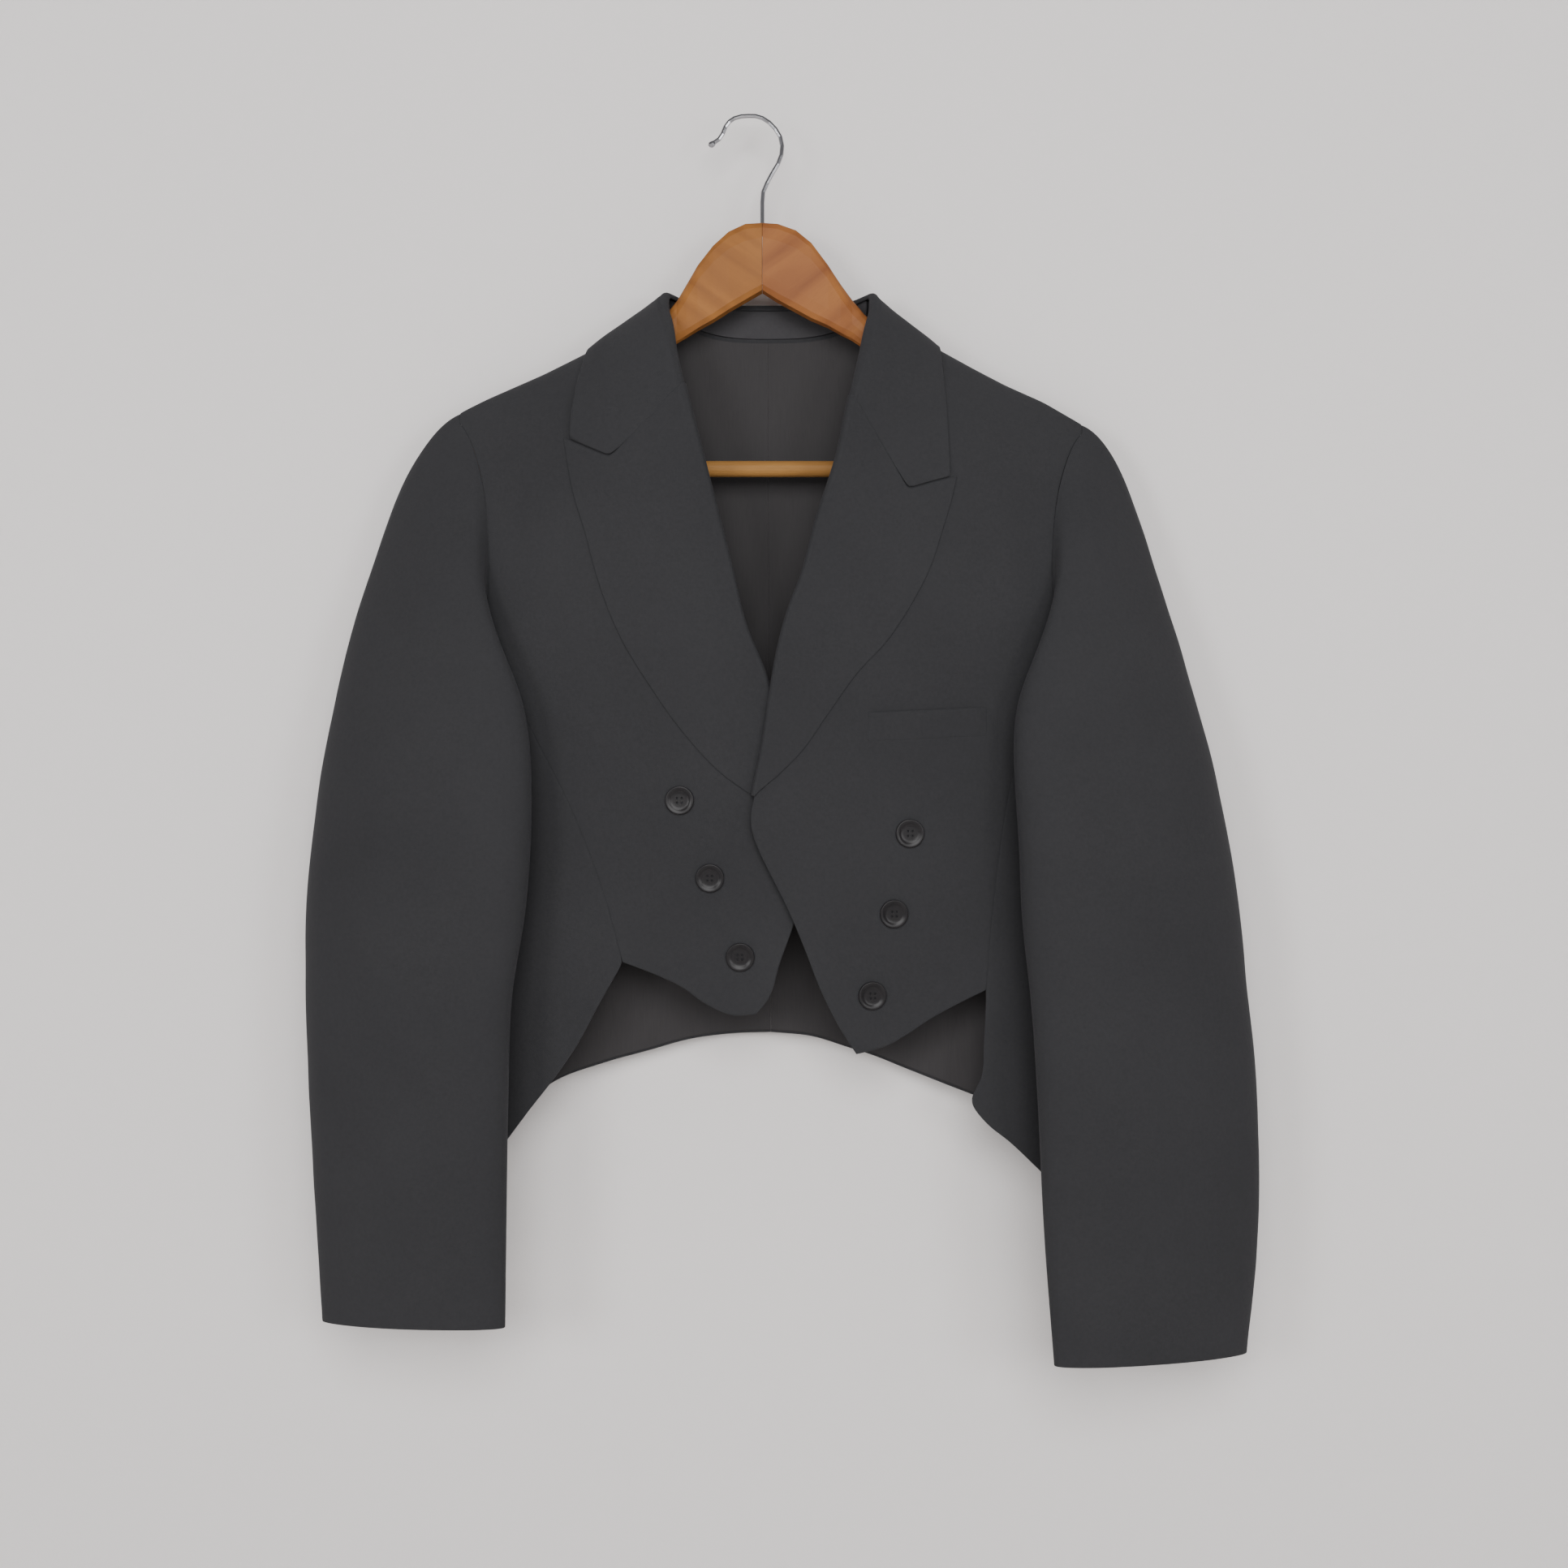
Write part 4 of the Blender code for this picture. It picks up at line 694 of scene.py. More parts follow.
BACK_CREASES = (
    (-150, -215, -128, -420, -1.3, 18), (-95, -240, -82, -560, 1.0, 22), (-45, -300, -52, -630, -0.8, 16),
    (-175, -330, -150, -560, 0.9, 15), (52, -260, 60, -600, -0.9, 18), (98, -230, 112, -520, 1.1, 20),
    (168, -220, 150, -450, -1.2, 17), (188, -400, 170, -640, 0.8, 14), (14, -420, 16, -640, -0.7, 9),
)
# How far a crease bows for its length, how much of that its middle moves, and how its ends fade
CREASE_BOW = 0.06
CREASE_OFFSET = 0.3
CREASE_FADE = 0.7
# The front's creases give way to the back's over this depth, and all of them fade over this drop to
# the shoulder line
FLANK = 28.0
SHOULDER_CALM = 30.0
# Size and height of the slow and of the fine unevenness, and how far apart their patterns are taken
BODY_UNEVEN = ((55.0, 0.7), (21.0, 0.22))
SLEEVE_UNEVEN = ((60.0, 0.9), (22.0, 0.25))
PATTERN_SHIFT = 300.0


def crease_height(across, height, creases):
    """Sum of the creases at each place. Each bows a little and fades toward its ends."""
    total = np.zeros(np.broadcast(across, height).shape)
    for x1, z1, x2, z2, lift, width in creases:
        along = np.array([x2 - x1, z2 - z1], float)
        length = np.linalg.norm(along)
        dx, dz = across - x1, height - z1
        t = (dx * along[0] + dz * along[1]) / length**2
        off = np.abs(dx * along[1] - dz * along[0]) / length
        inside = np.clip(t, 0, 1)
        bow = CREASE_BOW * length * np.sin(np.pi * inside)
        fade = (4 * inside * (1 - inside)) ** CREASE_FADE
        total = total + lift * fade * np.exp(-(((off - CREASE_OFFSET * bow) / width) ** 2))
    return total


def unevenness(points, sizes):
    total = 0.0
    for number, (size, lift) in enumerate(sizes):
        values = [noise.noise(Vector(p)) for p in (points + number * PATTERN_SHIFT).reshape(-1, 3) / size]
        total = total + lift * np.array(values).reshape(points.shape[:-1])
    return total


def body_fold(points):
    """How far the cloth stands over the body's form at each point."""
    across, depth, height = points[..., 0], points[..., 1], points[..., 2]
    front = np.clip((level(height)[1] + FLANK / 2 - depth) / FLANK, 0, 1)
    front = front * front * (3 - 2 * front)
    fold = front * crease_height(across, height, FRONT_CREASES)
    fold = fold + (1 - front) * crease_height(across, height, BACK_CREASES)
    fold = fold + unevenness(points, BODY_UNEVEN)
    return fold * np.clip((shoulder_height(across) - height) / SHOULDER_CALM, 0, 1)


chest_crease = crease_height(np.array(-167.0), np.array(-280.0), FRONT_CREASES)
print("crease on the chest:", round(float(chest_crease), 2), "mm")

# %% [markdown]
# ## A wall of cloth
# Each piece is a grid of points on its outer face and one on its inner face, closed along the rim. The
# rows and columns give the cloth its own map, in metres along the cloth, which the weave follows. One
# level of subdivision rounds the edges, as pressed wool is rounded.

# %% Cloth wall
# A sheet's stated area is never less than this share of its width times its length
LEAST_AREA = 0.301


def arc_marks(lines):
    """Distance along each line of points."""
    steps = np.linalg.norm(np.diff(lines, axis=1), axis=-1)
    return np.concatenate([np.zeros((len(lines), 1)), np.cumsum(steps, axis=1)], axis=1)


def cloth_piece(name, node_name, outside, inside, held, rests_on, shut=(), finish=wool,
                inner_finish=None, slot="wool"):
    """Closed wall. The rims named in shut lie in a seam, so subdivision must not draw them back."""
    rows, columns = outside.shape[:2]
    shell = bmesh.new()
    out, within = ([[shell.verts.new(Vector(p) * MM) for p in line] for line in points]
                   for points in (outside, inside))
    for i in range(rows - 1):
        for j in range(columns - 1):
            shell.faces.new((out[i][j], out[i][j + 1], out[i + 1][j + 1], out[i + 1][j]))
            face = shell.faces.new((within[i][j], within[i + 1][j], within[i + 1][j + 1], within[i][j + 1]))
            face.material_index = 1 if inner_finish else 0
    rim = [(0, j) for j in range(columns)] + [(i, columns - 1) for i in range(1, rows)]
    rim += [(rows - 1, j) for j in range(columns - 2, -1, -1)] + [(i, 0) for i in range(rows - 2, 0, -1)]
    for (i, j), (k, m) in zip(rim, rim[1:] + rim[:1]):
        shell.faces.new((out[i][j], within[i][j], within[k][m], out[k][m]))
    bmesh.ops.recalc_face_normals(shell, faces=shell.faces)
    crease = shell.edges.layers.float.new("crease_edge")
    last_row, last_column = rows - 1, columns - 1
    rims = {"low": [(0, j) for j in range(columns)], "high": [(last_row, j) for j in range(columns)],
            "left": [(i, 0) for i in range(rows)], "right": [(i, last_column) for i in range(rows)]}
    for rim_name in shut:
        for (i, j), (k, m) in zip(rims[rim_name], rims[rim_name][1:]):
            for grid in (out, within):
                edge = shell.edges.get((grid[i][j], grid[k][m]))
                edge[crease] = 1.0
                edge.smooth = False
        for i, j in (rims[rim_name][0], rims[rim_name][-1]):
            shell.edges.get((out[i][j], within[i][j]))[crease] = 1.0
    widths = arc_marks(outside)
    lengths = arc_marks(outside.transpose(1, 0, 2)).T
    layer = shell.loops.layers.uv.new("cloth")
    place = {}
    for grid in (out, within):
        for i in range(rows):
            for j in range(columns):
                place[grid[i][j]] = (widths[i, j] * MM, lengths[i, j] * MM)
    for face in shell.faces:
        for loop in face.loops:
            loop[layer].uv = place[loop.vert]
    area = sum(face.calc_area() for face in shell.faces) / 2
    mesh = bpy.data.meshes.new(name)
    shell.to_mesh(mesh)
    shell.free()
    mesh.shade_smooth()
    piece = bpy.data.objects.new(name, mesh)
    bpy.context.scene.collection.objects.link(piece)
    mesh.materials.append(finish)
    if inner_finish:
        mesh.materials.append(inner_finish)
    rounding = piece.modifiers.new("rounding", "SUBSURF")
    rounding.levels = 1
    rounding.render_levels = 1
    width, length = float(widths[:, -1].max()) * MM, float(lengths[-1].max()) * MM
    area = min(max(area, LEAST_AREA * width * length), width * length)
    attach(piece, "root")
    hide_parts(node_name)
    print(f"{name}: flat {width * 1000:.0f} x {length * 1000:.0f} mm, {area * 1e4:.0f} cm2")


# %% [markdown]
# ## Seams and armholes
# A seam that two panels share is one curve, cut into the same rows for both. Each panel stops a hair
# short of it, and its edge dips where the stitches pull the cloth in.

# %% Seam lines
FULL_TURN = 360.0
WIDEST = float(level(np.array(ARMHOLE_BOTTOM))[0])


def armhole_place(turns, side):
    values = table_at(ARMHOLE, np.mod(turns, FULL_TURN))
    across = CENTRE + side * np.minimum(values[:, 0], WIDEST)
    top = shoulder_height(CENTRE + side * min(ARMHOLE[0][1], WIDEST))
    height = ARMHOLE_BOTTOM + (top - ARMHOLE_BOTTOM) * np.clip(values[:, 1], 0.0, 1.0)
    return np.stack([across, np.minimum(height, shoulder_height(across))], axis=-1)


def armhole_point(turn, side):
    place = armhole_place(np.array([turn]), side)[0]
    return body_point(place[0], place[1], np.array(turn % FULL_TURN > 180.0))


def front_edge(shares, side):
    edge, neck = (LEFT_FRONT_EDGE, LEFT_NECK) if side == LEFT else (RIGHT_FRONT_EDGE, RIGHT_NECK)
    return smooth(edge + (neck,), 1 - (1 - np.asarray(shares)) ** EDGE_SPACING)


def front_seam(shares, side):
    seam = LEFT_FRONT_SEAM if side == LEFT else RIGHT_FRONT_SEAM
    return smooth(seam + (tuple(armhole_place(np.array([FRONT_SEAM_TURN]), side)[0]),), shares)


def back_seam(shares, side):
    corner = LEFT_BACK_HEM[-1] if side == LEFT else RIGHT_BACK_HEM[-1]
    seam = [corner] + [(CENTRE + side * reach, height) for reach, height in BACK_SEAM]
    return smooth(seam + [tuple(armhole_place(np.array([BACK_SEAM_TURN]), side)[0])], shares)


def two_lines(shares, split, first, second):
    """First line up to the split, second line above it."""
    low = first(np.clip(shares / split, 0, 1))
    high = second(np.clip((shares - split) / (1 - split), 0, 1))
    return np.where((shares < split)[:, None], low, high)


def panel_grid(inner, outer, bottom, top, row_shares, column_shares, gap_inner, gap_outer):
    """Places between two long edges, given row by row, and two short ones, given as functions."""
    v = row_shares[:, None, None]
    length = np.maximum(np.linalg.norm(outer - inner, axis=1), 1.0)[:, None]
    u = gap_inner / length + (1 - (gap_inner + gap_outer) / length) * column_shares[None, :]
    grid = inner[:, None] + (outer - inner)[:, None] * u[..., None]
    ends = (((1 - v) ** 2, bottom, inner[0], outer[0]), (v**2, top, inner[-1], outer[-1]))
    for weight, line, start, end in ends:
        straight = start + (end - start) * column_shares[:, None]
        grid = grid + weight * (line(column_shares) - straight)[None]
    return grid


# How far a seam pulls the outer face in, and which share of that the inner face moves
SEAM_DIP = 0.22
INNER_DIP = 0.3
RIMS = {"left": (slice(None), 0), "right": (slice(None), -1), "high": (-1,)}


def dip_edges(outside, inside, normals, edges):
    """Pulls the named edges of a panel in, as the stitches of a seam do."""
    for edge in edges:
        outside[RIMS[edge]] -= normals[RIMS[edge]] * SEAM_DIP
        inside[RIMS[edge]] -= normals[RIMS[edge]] * SEAM_DIP * INNER_DIP


print("armhole front:", armhole_place(np.array([90.0]), LEFT).round(1))

# %% [markdown]
# ## Fronts, backs and sides
# The body is cut in six panels, as a tailored jacket is: two fronts, two backs with a centre seam, and
# two side panels under the arms. The right front lies over the left one by 6 mm.

# %% Fronts
# Share of the rows of each panel below the place where its long edge changes from one seam to the next
FRONT_SPLIT = 7 / 17
SIDE_SPLIT = 6 / 13
BACK_SPLIT = 13 / 21


def front_lift(across, side):
    if side == LEFT:
        return np.zeros(np.shape(across))
    share = np.clip((LIFT_END - across) / LIFT_RUN, 0.0, 1.0)
    return FRONT_LIFT * share * share * (3 - 2 * share)


def front_place(across, height, side, outward):
    """Point over a front, moved out from its outer face and carried by its creases."""
    across, height = np.asarray(across, float), np.asarray(height, float)
    point = body_point(across, height, False)
    normal = body_normal(across, height, np.zeros(across.shape, bool))
    lift = np.asarray(outward + body_fold(point))
    point = point + normal * lift[..., None]
    point[..., 1] -= front_lift(across, side)
    return point


def panel_walls(grid, back, side, seam_start):
    """Outer face, inner face and ways outward. From seam_start on, the top row lies in the shoulder seam."""
    across = grid[..., 0]
    height = np.minimum(grid[..., 1], shoulder_height(across))
    flags = np.full(across.shape, back)
    outside = body_point(across, height, flags)
    normals = body_normal(across, height, flags)
    fold = body_fold(outside)
    outside[-1, seam_start:, 1] += SEAM_HALF if back else -SEAM_HALF
    normals[-1, seam_start:, 1] = 0.0
    normals = unit(normals)
    outside = outside + normals * fold[..., None]
    if not back:
        outside[..., 1] -= front_lift(across, side)
    return outside, outside - normals * CLOTH, normals


def front_walls(side, rows=85, columns=34):
    hem, neck = (LEFT_FRONT_HEM, LEFT_NECK) if side == LEFT else (RIGHT_FRONT_HEM, RIGHT_NECK)
    shares = spread(rows)
    inner = front_edge(shares, side)
    outer = two_lines(shares, FRONT_SPLIT, lambda s: front_seam(s, side),
                      lambda s: armhole_place(FRONT_SEAM_TURN * (1 - s), side))

    def shoulder(u):
        across = neck[0] + (outer[-1][0] - neck[0]) * u
        return np.stack([across, shoulder_height(across)], axis=-1)

    grid = panel_grid(inner, outer, lambda u: smooth(hem, u), shoulder, shares, spread(columns), 0.0,
                      SEAM_HALF)
    return panel_walls(grid, False, side, 0)


front_grids = {}
for side, word in WORDS.items():
    outside, inside, normals = front_walls(side)
    front_grids[side] = outside
    dip_edges(outside, inside, normals, ("right", "high"))
    cloth_piece("front_cloth_" + word, "front_" + word, outside, inside, "hung", ["hanger_arm_" + word],
                shut=("right", "high"))

# %% Backs
def back_walls(side, rows=84, columns=40):
    hem, neck = (LEFT_BACK_HEM, LEFT_NECK) if side == LEFT else (RIGHT_BACK_HEM, RIGHT_NECK)
    shares = spread(rows)
    inner = smooth(BACK_CENTRE, shares)
    outer = two_lines(shares, BACK_SPLIT, lambda s: back_seam(s, side),
                      lambda s: armhole_place(BACK_SEAM_TURN + (FULL_TURN - BACK_SEAM_TURN) * s, side))
    centre = inner[-1]

    def top(u):
        part = np.minimum(u / NECK_SHARE, 1.0)
        near = np.stack([centre[0] + (neck[0] - centre[0]) * part,
                         centre[1] + (neck[1] - centre[1]) * part**3], axis=-1)
        across = neck[0] + (outer[-1][0] - neck[0]) * (u - NECK_SHARE) / (1 - NECK_SHARE)
        far = np.stack([across, shoulder_height(across)], axis=-1)
        return np.where((u < NECK_SHARE)[:, None], near, far)

    columns_at = spread(columns)
    grid = panel_grid(inner, outer, lambda u: smooth(hem, u), top, shares, columns_at, SEAM_HALF, SEAM_HALF)
    return panel_walls(grid, True, side, int(np.searchsorted(columns_at, NECK_SHARE)))


back_grids = {}
for side, word in WORDS.items():
    outside, inside, normals = back_walls(side)
    back_grids[side] = (outside.copy(), inside.copy())
    dip_edges(outside, inside, normals, ("left", "right"))
    cloth_piece("back_cloth_" + word, "back_" + word, outside, inside, "hung", ["hanger_arm_" + word],
                shut=("left", "right", "high"))

# %% Side panels
def side_walls(side, rows=65, columns=22):
    tail = LEFT_TAIL_EDGE if side == LEFT else RIGHT_TAIL_EDGE
    shares = spread(rows)
    front = two_lines(shares, SIDE_SPLIT, lambda s: smooth(tail, s), lambda s: front_seam(s, side))
    rear = back_seam(shares, side)
    inner = np.stack([ring_turn(front[:, 0], front[:, 1], False), front[:, 1]], axis=-1)
    outer = np.stack([ring_turn(rear[:, 0], rear[:, 1], True), rear[:, 1]], axis=-1)

    def hem(u):
        dip = (SIDE_HEM - max(inner[0][1], outer[0][1])) * np.sin(np.pi * u) * (1 - u)
        dip = np.stack([0 * u, np.minimum(dip, 0.0)], axis=-1)
        return inner[0] + (outer[0] - inner[0]) * u[:, None] + dip

    def armhole(u):
        turn = FRONT_SEAM_TURN + (BACK_SEAM_TURN - FRONT_SEAM_TURN) * u
        place = armhole_place(turn, side)
        return np.stack([ring_turn(place[:, 0], place[:, 1], turn > 180.0), place[:, 1]], axis=-1)

    grid = panel_grid(inner, outer, hem, armhole, shares, spread(columns), 0.0, 0.0)
    step = (grid[:, -1] - grid[:, 0]) * SIDE_MARGIN
    for j in (0, 1):
        grid[:, j] += step * (1 - 0.5 * j)
        grid[:, -1 - j] -= step * (1 - 0.5 * j)
    outside = ring_point(grid[..., 0], grid[..., 1], side)
    normals = ring_normal(grid[..., 0], grid[..., 1], side)
    outside = outside + normals * body_fold(outside)[..., None]
    return outside, outside - normals * CLOTH, normals


side_grids = {}
for side, word in WORDS.items():
    outside, inside, normals = side_walls(side)
    side_grids[side] = outside.copy()
    dip_edges(outside, inside, normals, ("left", "right"))
    cloth_piece("side_cloth_" + word, "side_" + word, outside, inside, "hung",
                ["front_cloth_" + word, "back_cloth_" + word], shut=("left", "right", "high"))

# %% [markdown]
# ## Lapels
# A lapel is the facing that turns outward at the roll line. It curls round the front's free edge and
# then lies on the front. Its peak points to the shoulder, and its top edge is the gorge, the seam with
# the collar. Near the top the roll springs up, because pressed canvas does not fold flat there.

# %% Lapels
EDGE_SAMPLES = 200
CURL_COLUMNS = 12


def with_corner(shares):
    """Moves the nearest column onto the corner of the gorge."""
    shares[np.argmin(np.abs(shares - CORNER))] = CORNER
    return shares


def lapel_walls(side, rows=72, columns=30):
    roll, foot, edge, gorge = (LEFT_ROLL, LEFT_LAPEL_FOOT, LEFT_LAPEL_EDGE, LEFT_GORGE)
    if side == RIGHT:
        roll, foot, edge, gorge = (RIGHT_ROLL, RIGHT_LAPEL_FOOT, RIGHT_LAPEL_EDGE, RIGHT_GORGE)
    places = front_edge(np.linspace(0, 1, EDGE_SAMPLES), side)

    def roll_line(shares):
        height = roll[0][1] + (roll[-1][1] - roll[0][1]) * shares
        return np.stack([np.interp(height, places[:, 1], places[:, 0]), height], axis=-1)

    v = spread(rows)
    inner = roll_line(v)
    corner = tuple(inner[0])
    columns_at = with_corner(spread(columns))
    grid = panel_grid(inner, smooth(edge, v), lambda u: smooth((corner,) + foot[1:], u),
                      lambda u: folded(gorge, u), v, columns_at, 0.0, 0.0)
    spring = LAPEL_SPRING * np.clip((v - 0.5) / 0.35, 0.0, 1.0)
    ahead = roll_line(np.minimum(v + 0.01, 1.0)) - roll_line(np.maximum(v - 0.01, 0.0))
    across, height = inner[:, 0], inner[:, 1]
    normal = body_normal(across, height, np.zeros(len(v), bool))
    medial = np.cross(np.stack([ahead[:, 0], 0 * v, ahead[:, 1]], axis=-1), normal)
    medial = unit(medial * (-side * np.sign(medial[:, :1])))
    base = front_place(across, height, side, -CLOTH / 2)
    radius = (ROLL_RADIUS + spring)[:, None]
    curl_out, curl_in = [], []
    for turn in np.linspace(*LAPEL_CURL, CURL_COLUMNS):
        angle = math.radians(turn)
        way = normal * math.cos(angle) + medial * math.sin(angle)
        curl_out.append(base + way * radius)
        curl_in.append(base + way * (radius - LAPEL))
    lift = (ROLL_RADIUS - CLOTH / 2) * (1 - EDGE_THIN * columns_at[None] ** 2)
    lift = lift + spring[:, None] * np.exp(-((3.0 * columns_at[None]) ** 2))
    leaf_out = front_place(grid[..., 0], grid[..., 1], side, lift)
    leaf_in = front_place(grid[..., 0], grid[..., 1], side, lift - LAPEL)
    outside = np.concatenate([np.stack(curl_out, axis=1), leaf_out], axis=1)
    inside = np.concatenate([np.stack(curl_in, axis=1), leaf_in], axis=1)
    return outside, inside


for side, word in WORDS.items():
    cloth_piece("lapel_cloth_" + word, "lapel_" + word, *lapel_walls(side), "folded", ["front_cloth_" + word])

# %% [markdown]
# ## Collar
# The collar's leaf curls over the neck seam and falls outward to its edge. Over the shoulder it stands
# up in a soft ridge. At each place it is moved clear of the panels below it, so the fall lies on the
# shoulder without touching it. The stand is the band that rises from the back's neck seam.

# %% Collar leaf
LEAF_SHARES = with_corner(spread(20))
CURL_STEPS = 10


def collar_station(side, share):
    table = LEFT_COLLAR if side == LEFT else RIGHT_COLLAR
    row = smooth(table, share)[0]
    turn = math.radians(row[3])
    outward = np.array([side * math.sin(turn), -math.cos(turn), 0.0])
    upward = np.array([-side * (1 - row[4]), 0.0, max(row[4], 0.0)])
    return row[0:3], outward, upward / np.linalg.norm(upward), row[5:8]


def panel_tree():
    """The panels' outer faces, for finding the nearest place on them."""
    points, faces = [], []
    grids = [front_grids[s] for s in WORDS] + [back_grids[s][0] for s in WORDS]
    for grid in grids + [side_grids[s] for s in WORDS]:
        rows, columns = grid.shape[:2]
        first = len(points)
        points += [Vector(p) for p in grid.reshape(-1, 3)]
        for i in range(rows - 1):
            for j in range(columns - 1):
                a = first + i * columns + j
                faces += [(a, a + 1, a + columns + 1), (a, a + columns + 1, a + columns)]
    return BVHTree.FromPolygons(points, faces)


# The body is flat, so its outward way counts depth and height for more than width. A point closer than
# this share of its distance leaves along the panel's normal.
DEPTH_WEIGHT = 8.0
HEIGHT_WEIGHT = 2.0
CLOSE_SHARE = 0.3


def clear_of(tree, point, lift):
    """Moves a point out from the panels until it stands the given distance off them."""
    place = Vector(point)
    nearest, normal, _, distance = tree.find_nearest(place)
    outward = Vector((nearest.x - CENTRE, DEPTH_WEIGHT * nearest.y,
                      HEIGHT_WEIGHT * (nearest.z - BODY_MIDDLE)))
    if normal.dot(outward) < 0:
        normal = -normal
    away = place - nearest
    if away.dot(normal) > 0 and distance >= lift:
        return np.array(point)
    if away.dot(normal) > 0 and distance > CLOSE_SHARE * lift:
        normal = away.normalized()
    return np.array(nearest + normal * lift)


def collar_half(side, tree, count=60):
    gorge = LEFT_GORGE if side == LEFT else RIGHT_GORGE
    places = front_edge(np.linspace(0, 1, EDGE_SAMPLES), side)
    turns = np.radians(np.linspace(*COLLAR_CURL, CURL_STEPS))
    half = []
    for v in spread(count)[:-2]:
        centre, outward, upward, edge = collar_station(side, v)
        share = min(max((NECK_JOIN - centre[2]) / NECK_BLEND, 0.0), 1.0)
        if v < 0.5 and share > 0:
            across = np.interp(centre[2], places[:, 1], places[:, 0])
            centre = centre * (1 - share) + front_place(across, centre[2], side, -CLOTH / 2) * share
        curl = [(centre, outward * math.cos(t) + upward * math.sin(t)) for t in turns]
        start = centre + outward * COLLAR_ROLL
        leaf = []
        blend = max(1.0 - v / SEAM_FADE, 0.0) ** 2
        for u in LEAF_SHARES:
            point = start + (edge - start) * u + outward * COLLAR_BULGE * math.sin(math.pi * u)
            reach = 1 - (1 - NOTCH_REACH) * max(0.0, (u - 5 / 6) * 6)
            open_share = min(max((u - SLIT_START) / SLIT_RUN, 0.0), 1.0)
            seam = folded(gorge, u * reach) + np.array([0.0, NOTCH_GAP + SLIT * open_share])
            straight = np.array([start[0] + (edge[0] - start[0]) * u, start[2] + (edge[2] - start[2]) * u])
            bend = (seam - straight) * (1 - v) ** GORGE_FADE
            point = point + np.array([bend[0], 0.0, bend[1]])
            flat_lift = SEAM_LIFT + SEAM_SPRING * math.exp(-((3 * u) ** 2))
            if blend > 0:
                flat = front_place(point[0], point[2], side, flat_lift)
                point[1] += (flat[1] - point[1]) * blend
            lift = COLLAR_LIFT + RIDGE_LIFT * max(0.0, 1.0 - abs(point[1]) / RIDGE_REACH)
            lift = lift * (1 - EDGE_DROP * u**3)
            lift = lift + (flat_lift - lift) * blend
            leaf.append(clear_of(tree, point, lift))
        half.append((curl, leaf))
    return half


def relax(grid, rounds):
    """Evens a grid of points a little, away from its rim."""
    for _ in range(rounds):
        middle = (grid[2:, 1:-1] + grid[:-2, 1:-1] + grid[1:-1, 2:] + grid[1:-1, :-2]) / 4
        grid[1:-1, 1:-1] = 0.5 * grid[1:-1, 1:-1] + 0.5 * middle
    return grid


def collar_walls():
    tree = panel_tree()
    stations = collar_half(LEFT, tree) + collar_half(RIGHT, tree)[::-1]
    outside = np.array([[c + w * COLLAR_ROLL for c, w in curl] + leaf for curl, leaf in stations])
    curl_in = np.array([[c + w * (COLLAR_ROLL - CLOTH) for c, w in curl] for curl, leaf in stations])
    leaf = outside[:, CURL_STEPS:]
    leaf[:, 1:] = relax(leaf.copy(), 3)[:, 1:]
    around = np.gradient(outside, axis=0)
    down = np.gradient(outside, axis=1)
    normals = unit(np.cross(around, down))
    inside = outside - normals * CLOTH
    inside[:, :CURL_STEPS] = curl_in
    return outside, inside


cloth_piece("collar_leaf_cloth", "collar_leaf", *collar_walls(), "folded",
            ["front_cloth_left", "front_cloth_right", "back_cloth_left"], inner_finish=under_felt_shade_lifted)

# %% Collar stand
def neckline(across):
    neck = LEFT_NECK if across < BACK_CENTRE[-1][0] else RIGHT_NECK
    part = (across - BACK_CENTRE[-1][0]) / (neck[0] - BACK_CENTRE[-1][0])
    return BACK_CENTRE[-1][1] + (neck[1] - BACK_CENTRE[-1][1]) * part**3


def stand_walls(count=28):
    shares = STAND_START + (1 - STAND_START) * spread(count)[:-1]
    stations = [collar_station(LEFT, s) for s in shares] + [collar_station(LEFT, 1.0)]
    stations += [collar_station(RIGHT, s) for s in shares[::-1]]
    outside, inside = [], []
    for centre, outward, upward, edge in stations:
        foot = body_point(centre[0], neckline(centre[0]), True) - outward * CLOTH / 2
        foot[2] = min(neckline(centre[0]) + STAND_GAP, centre[2] - 1.0)
        line = [foot + (centre - foot) * share for share in spread(8)]
        outside.append([p + outward * CLOTH / 2 for p in line])
        inside.append([p - outward * CLOTH / 2 for p in line])
    return np.array(outside), np.array(inside)


cloth_piece("collar_stand_cloth", "collar_stand", *stand_walls(), "folded",
            ["back_cloth_left", "back_cloth_right"], finish=under_felt_shade_lifted)

# %% [markdown]
# ## Sleeves
# A tailored sleeve has two parts, the top sleeve outside and the narrower under sleeve against the
# body. Each strip of the sleeve starts at the armhole, leaves it outward, bends down over the cap and
# runs through the rings of the table to the cuff. The arm swings forward, so the cuff hangs in front
# of the body. The cap is slightly full, and soft creases break at the elbow and above the cuff.

# %% Sleeve form
CAP_ROWS = 26
LENGTH_ROWS = 60
# Rows over which the bend below the cap is eased, and how often
EASE_REACH = 9.0
EASE_ROUNDS = 60
# The cap's rows crowd at the armhole, after a first one close to it
FIRST_ROW = 0.006
ROW_SPACING = 1.2
# Strakes in the top sleeve's front and back, and in the under sleeve
SIDE_STRAKES = 40
UNDER_STRAKES = 24
# Share of the sleeve that gives the strake's way into its first ring, share of the cap at which a
# strake stands fully clear of the body, and the strip near the armhole's sides where it may touch it
SECOND_RING = 0.04
CLEAR_START = 0.15
SHOULDER_STRIP = 4.0


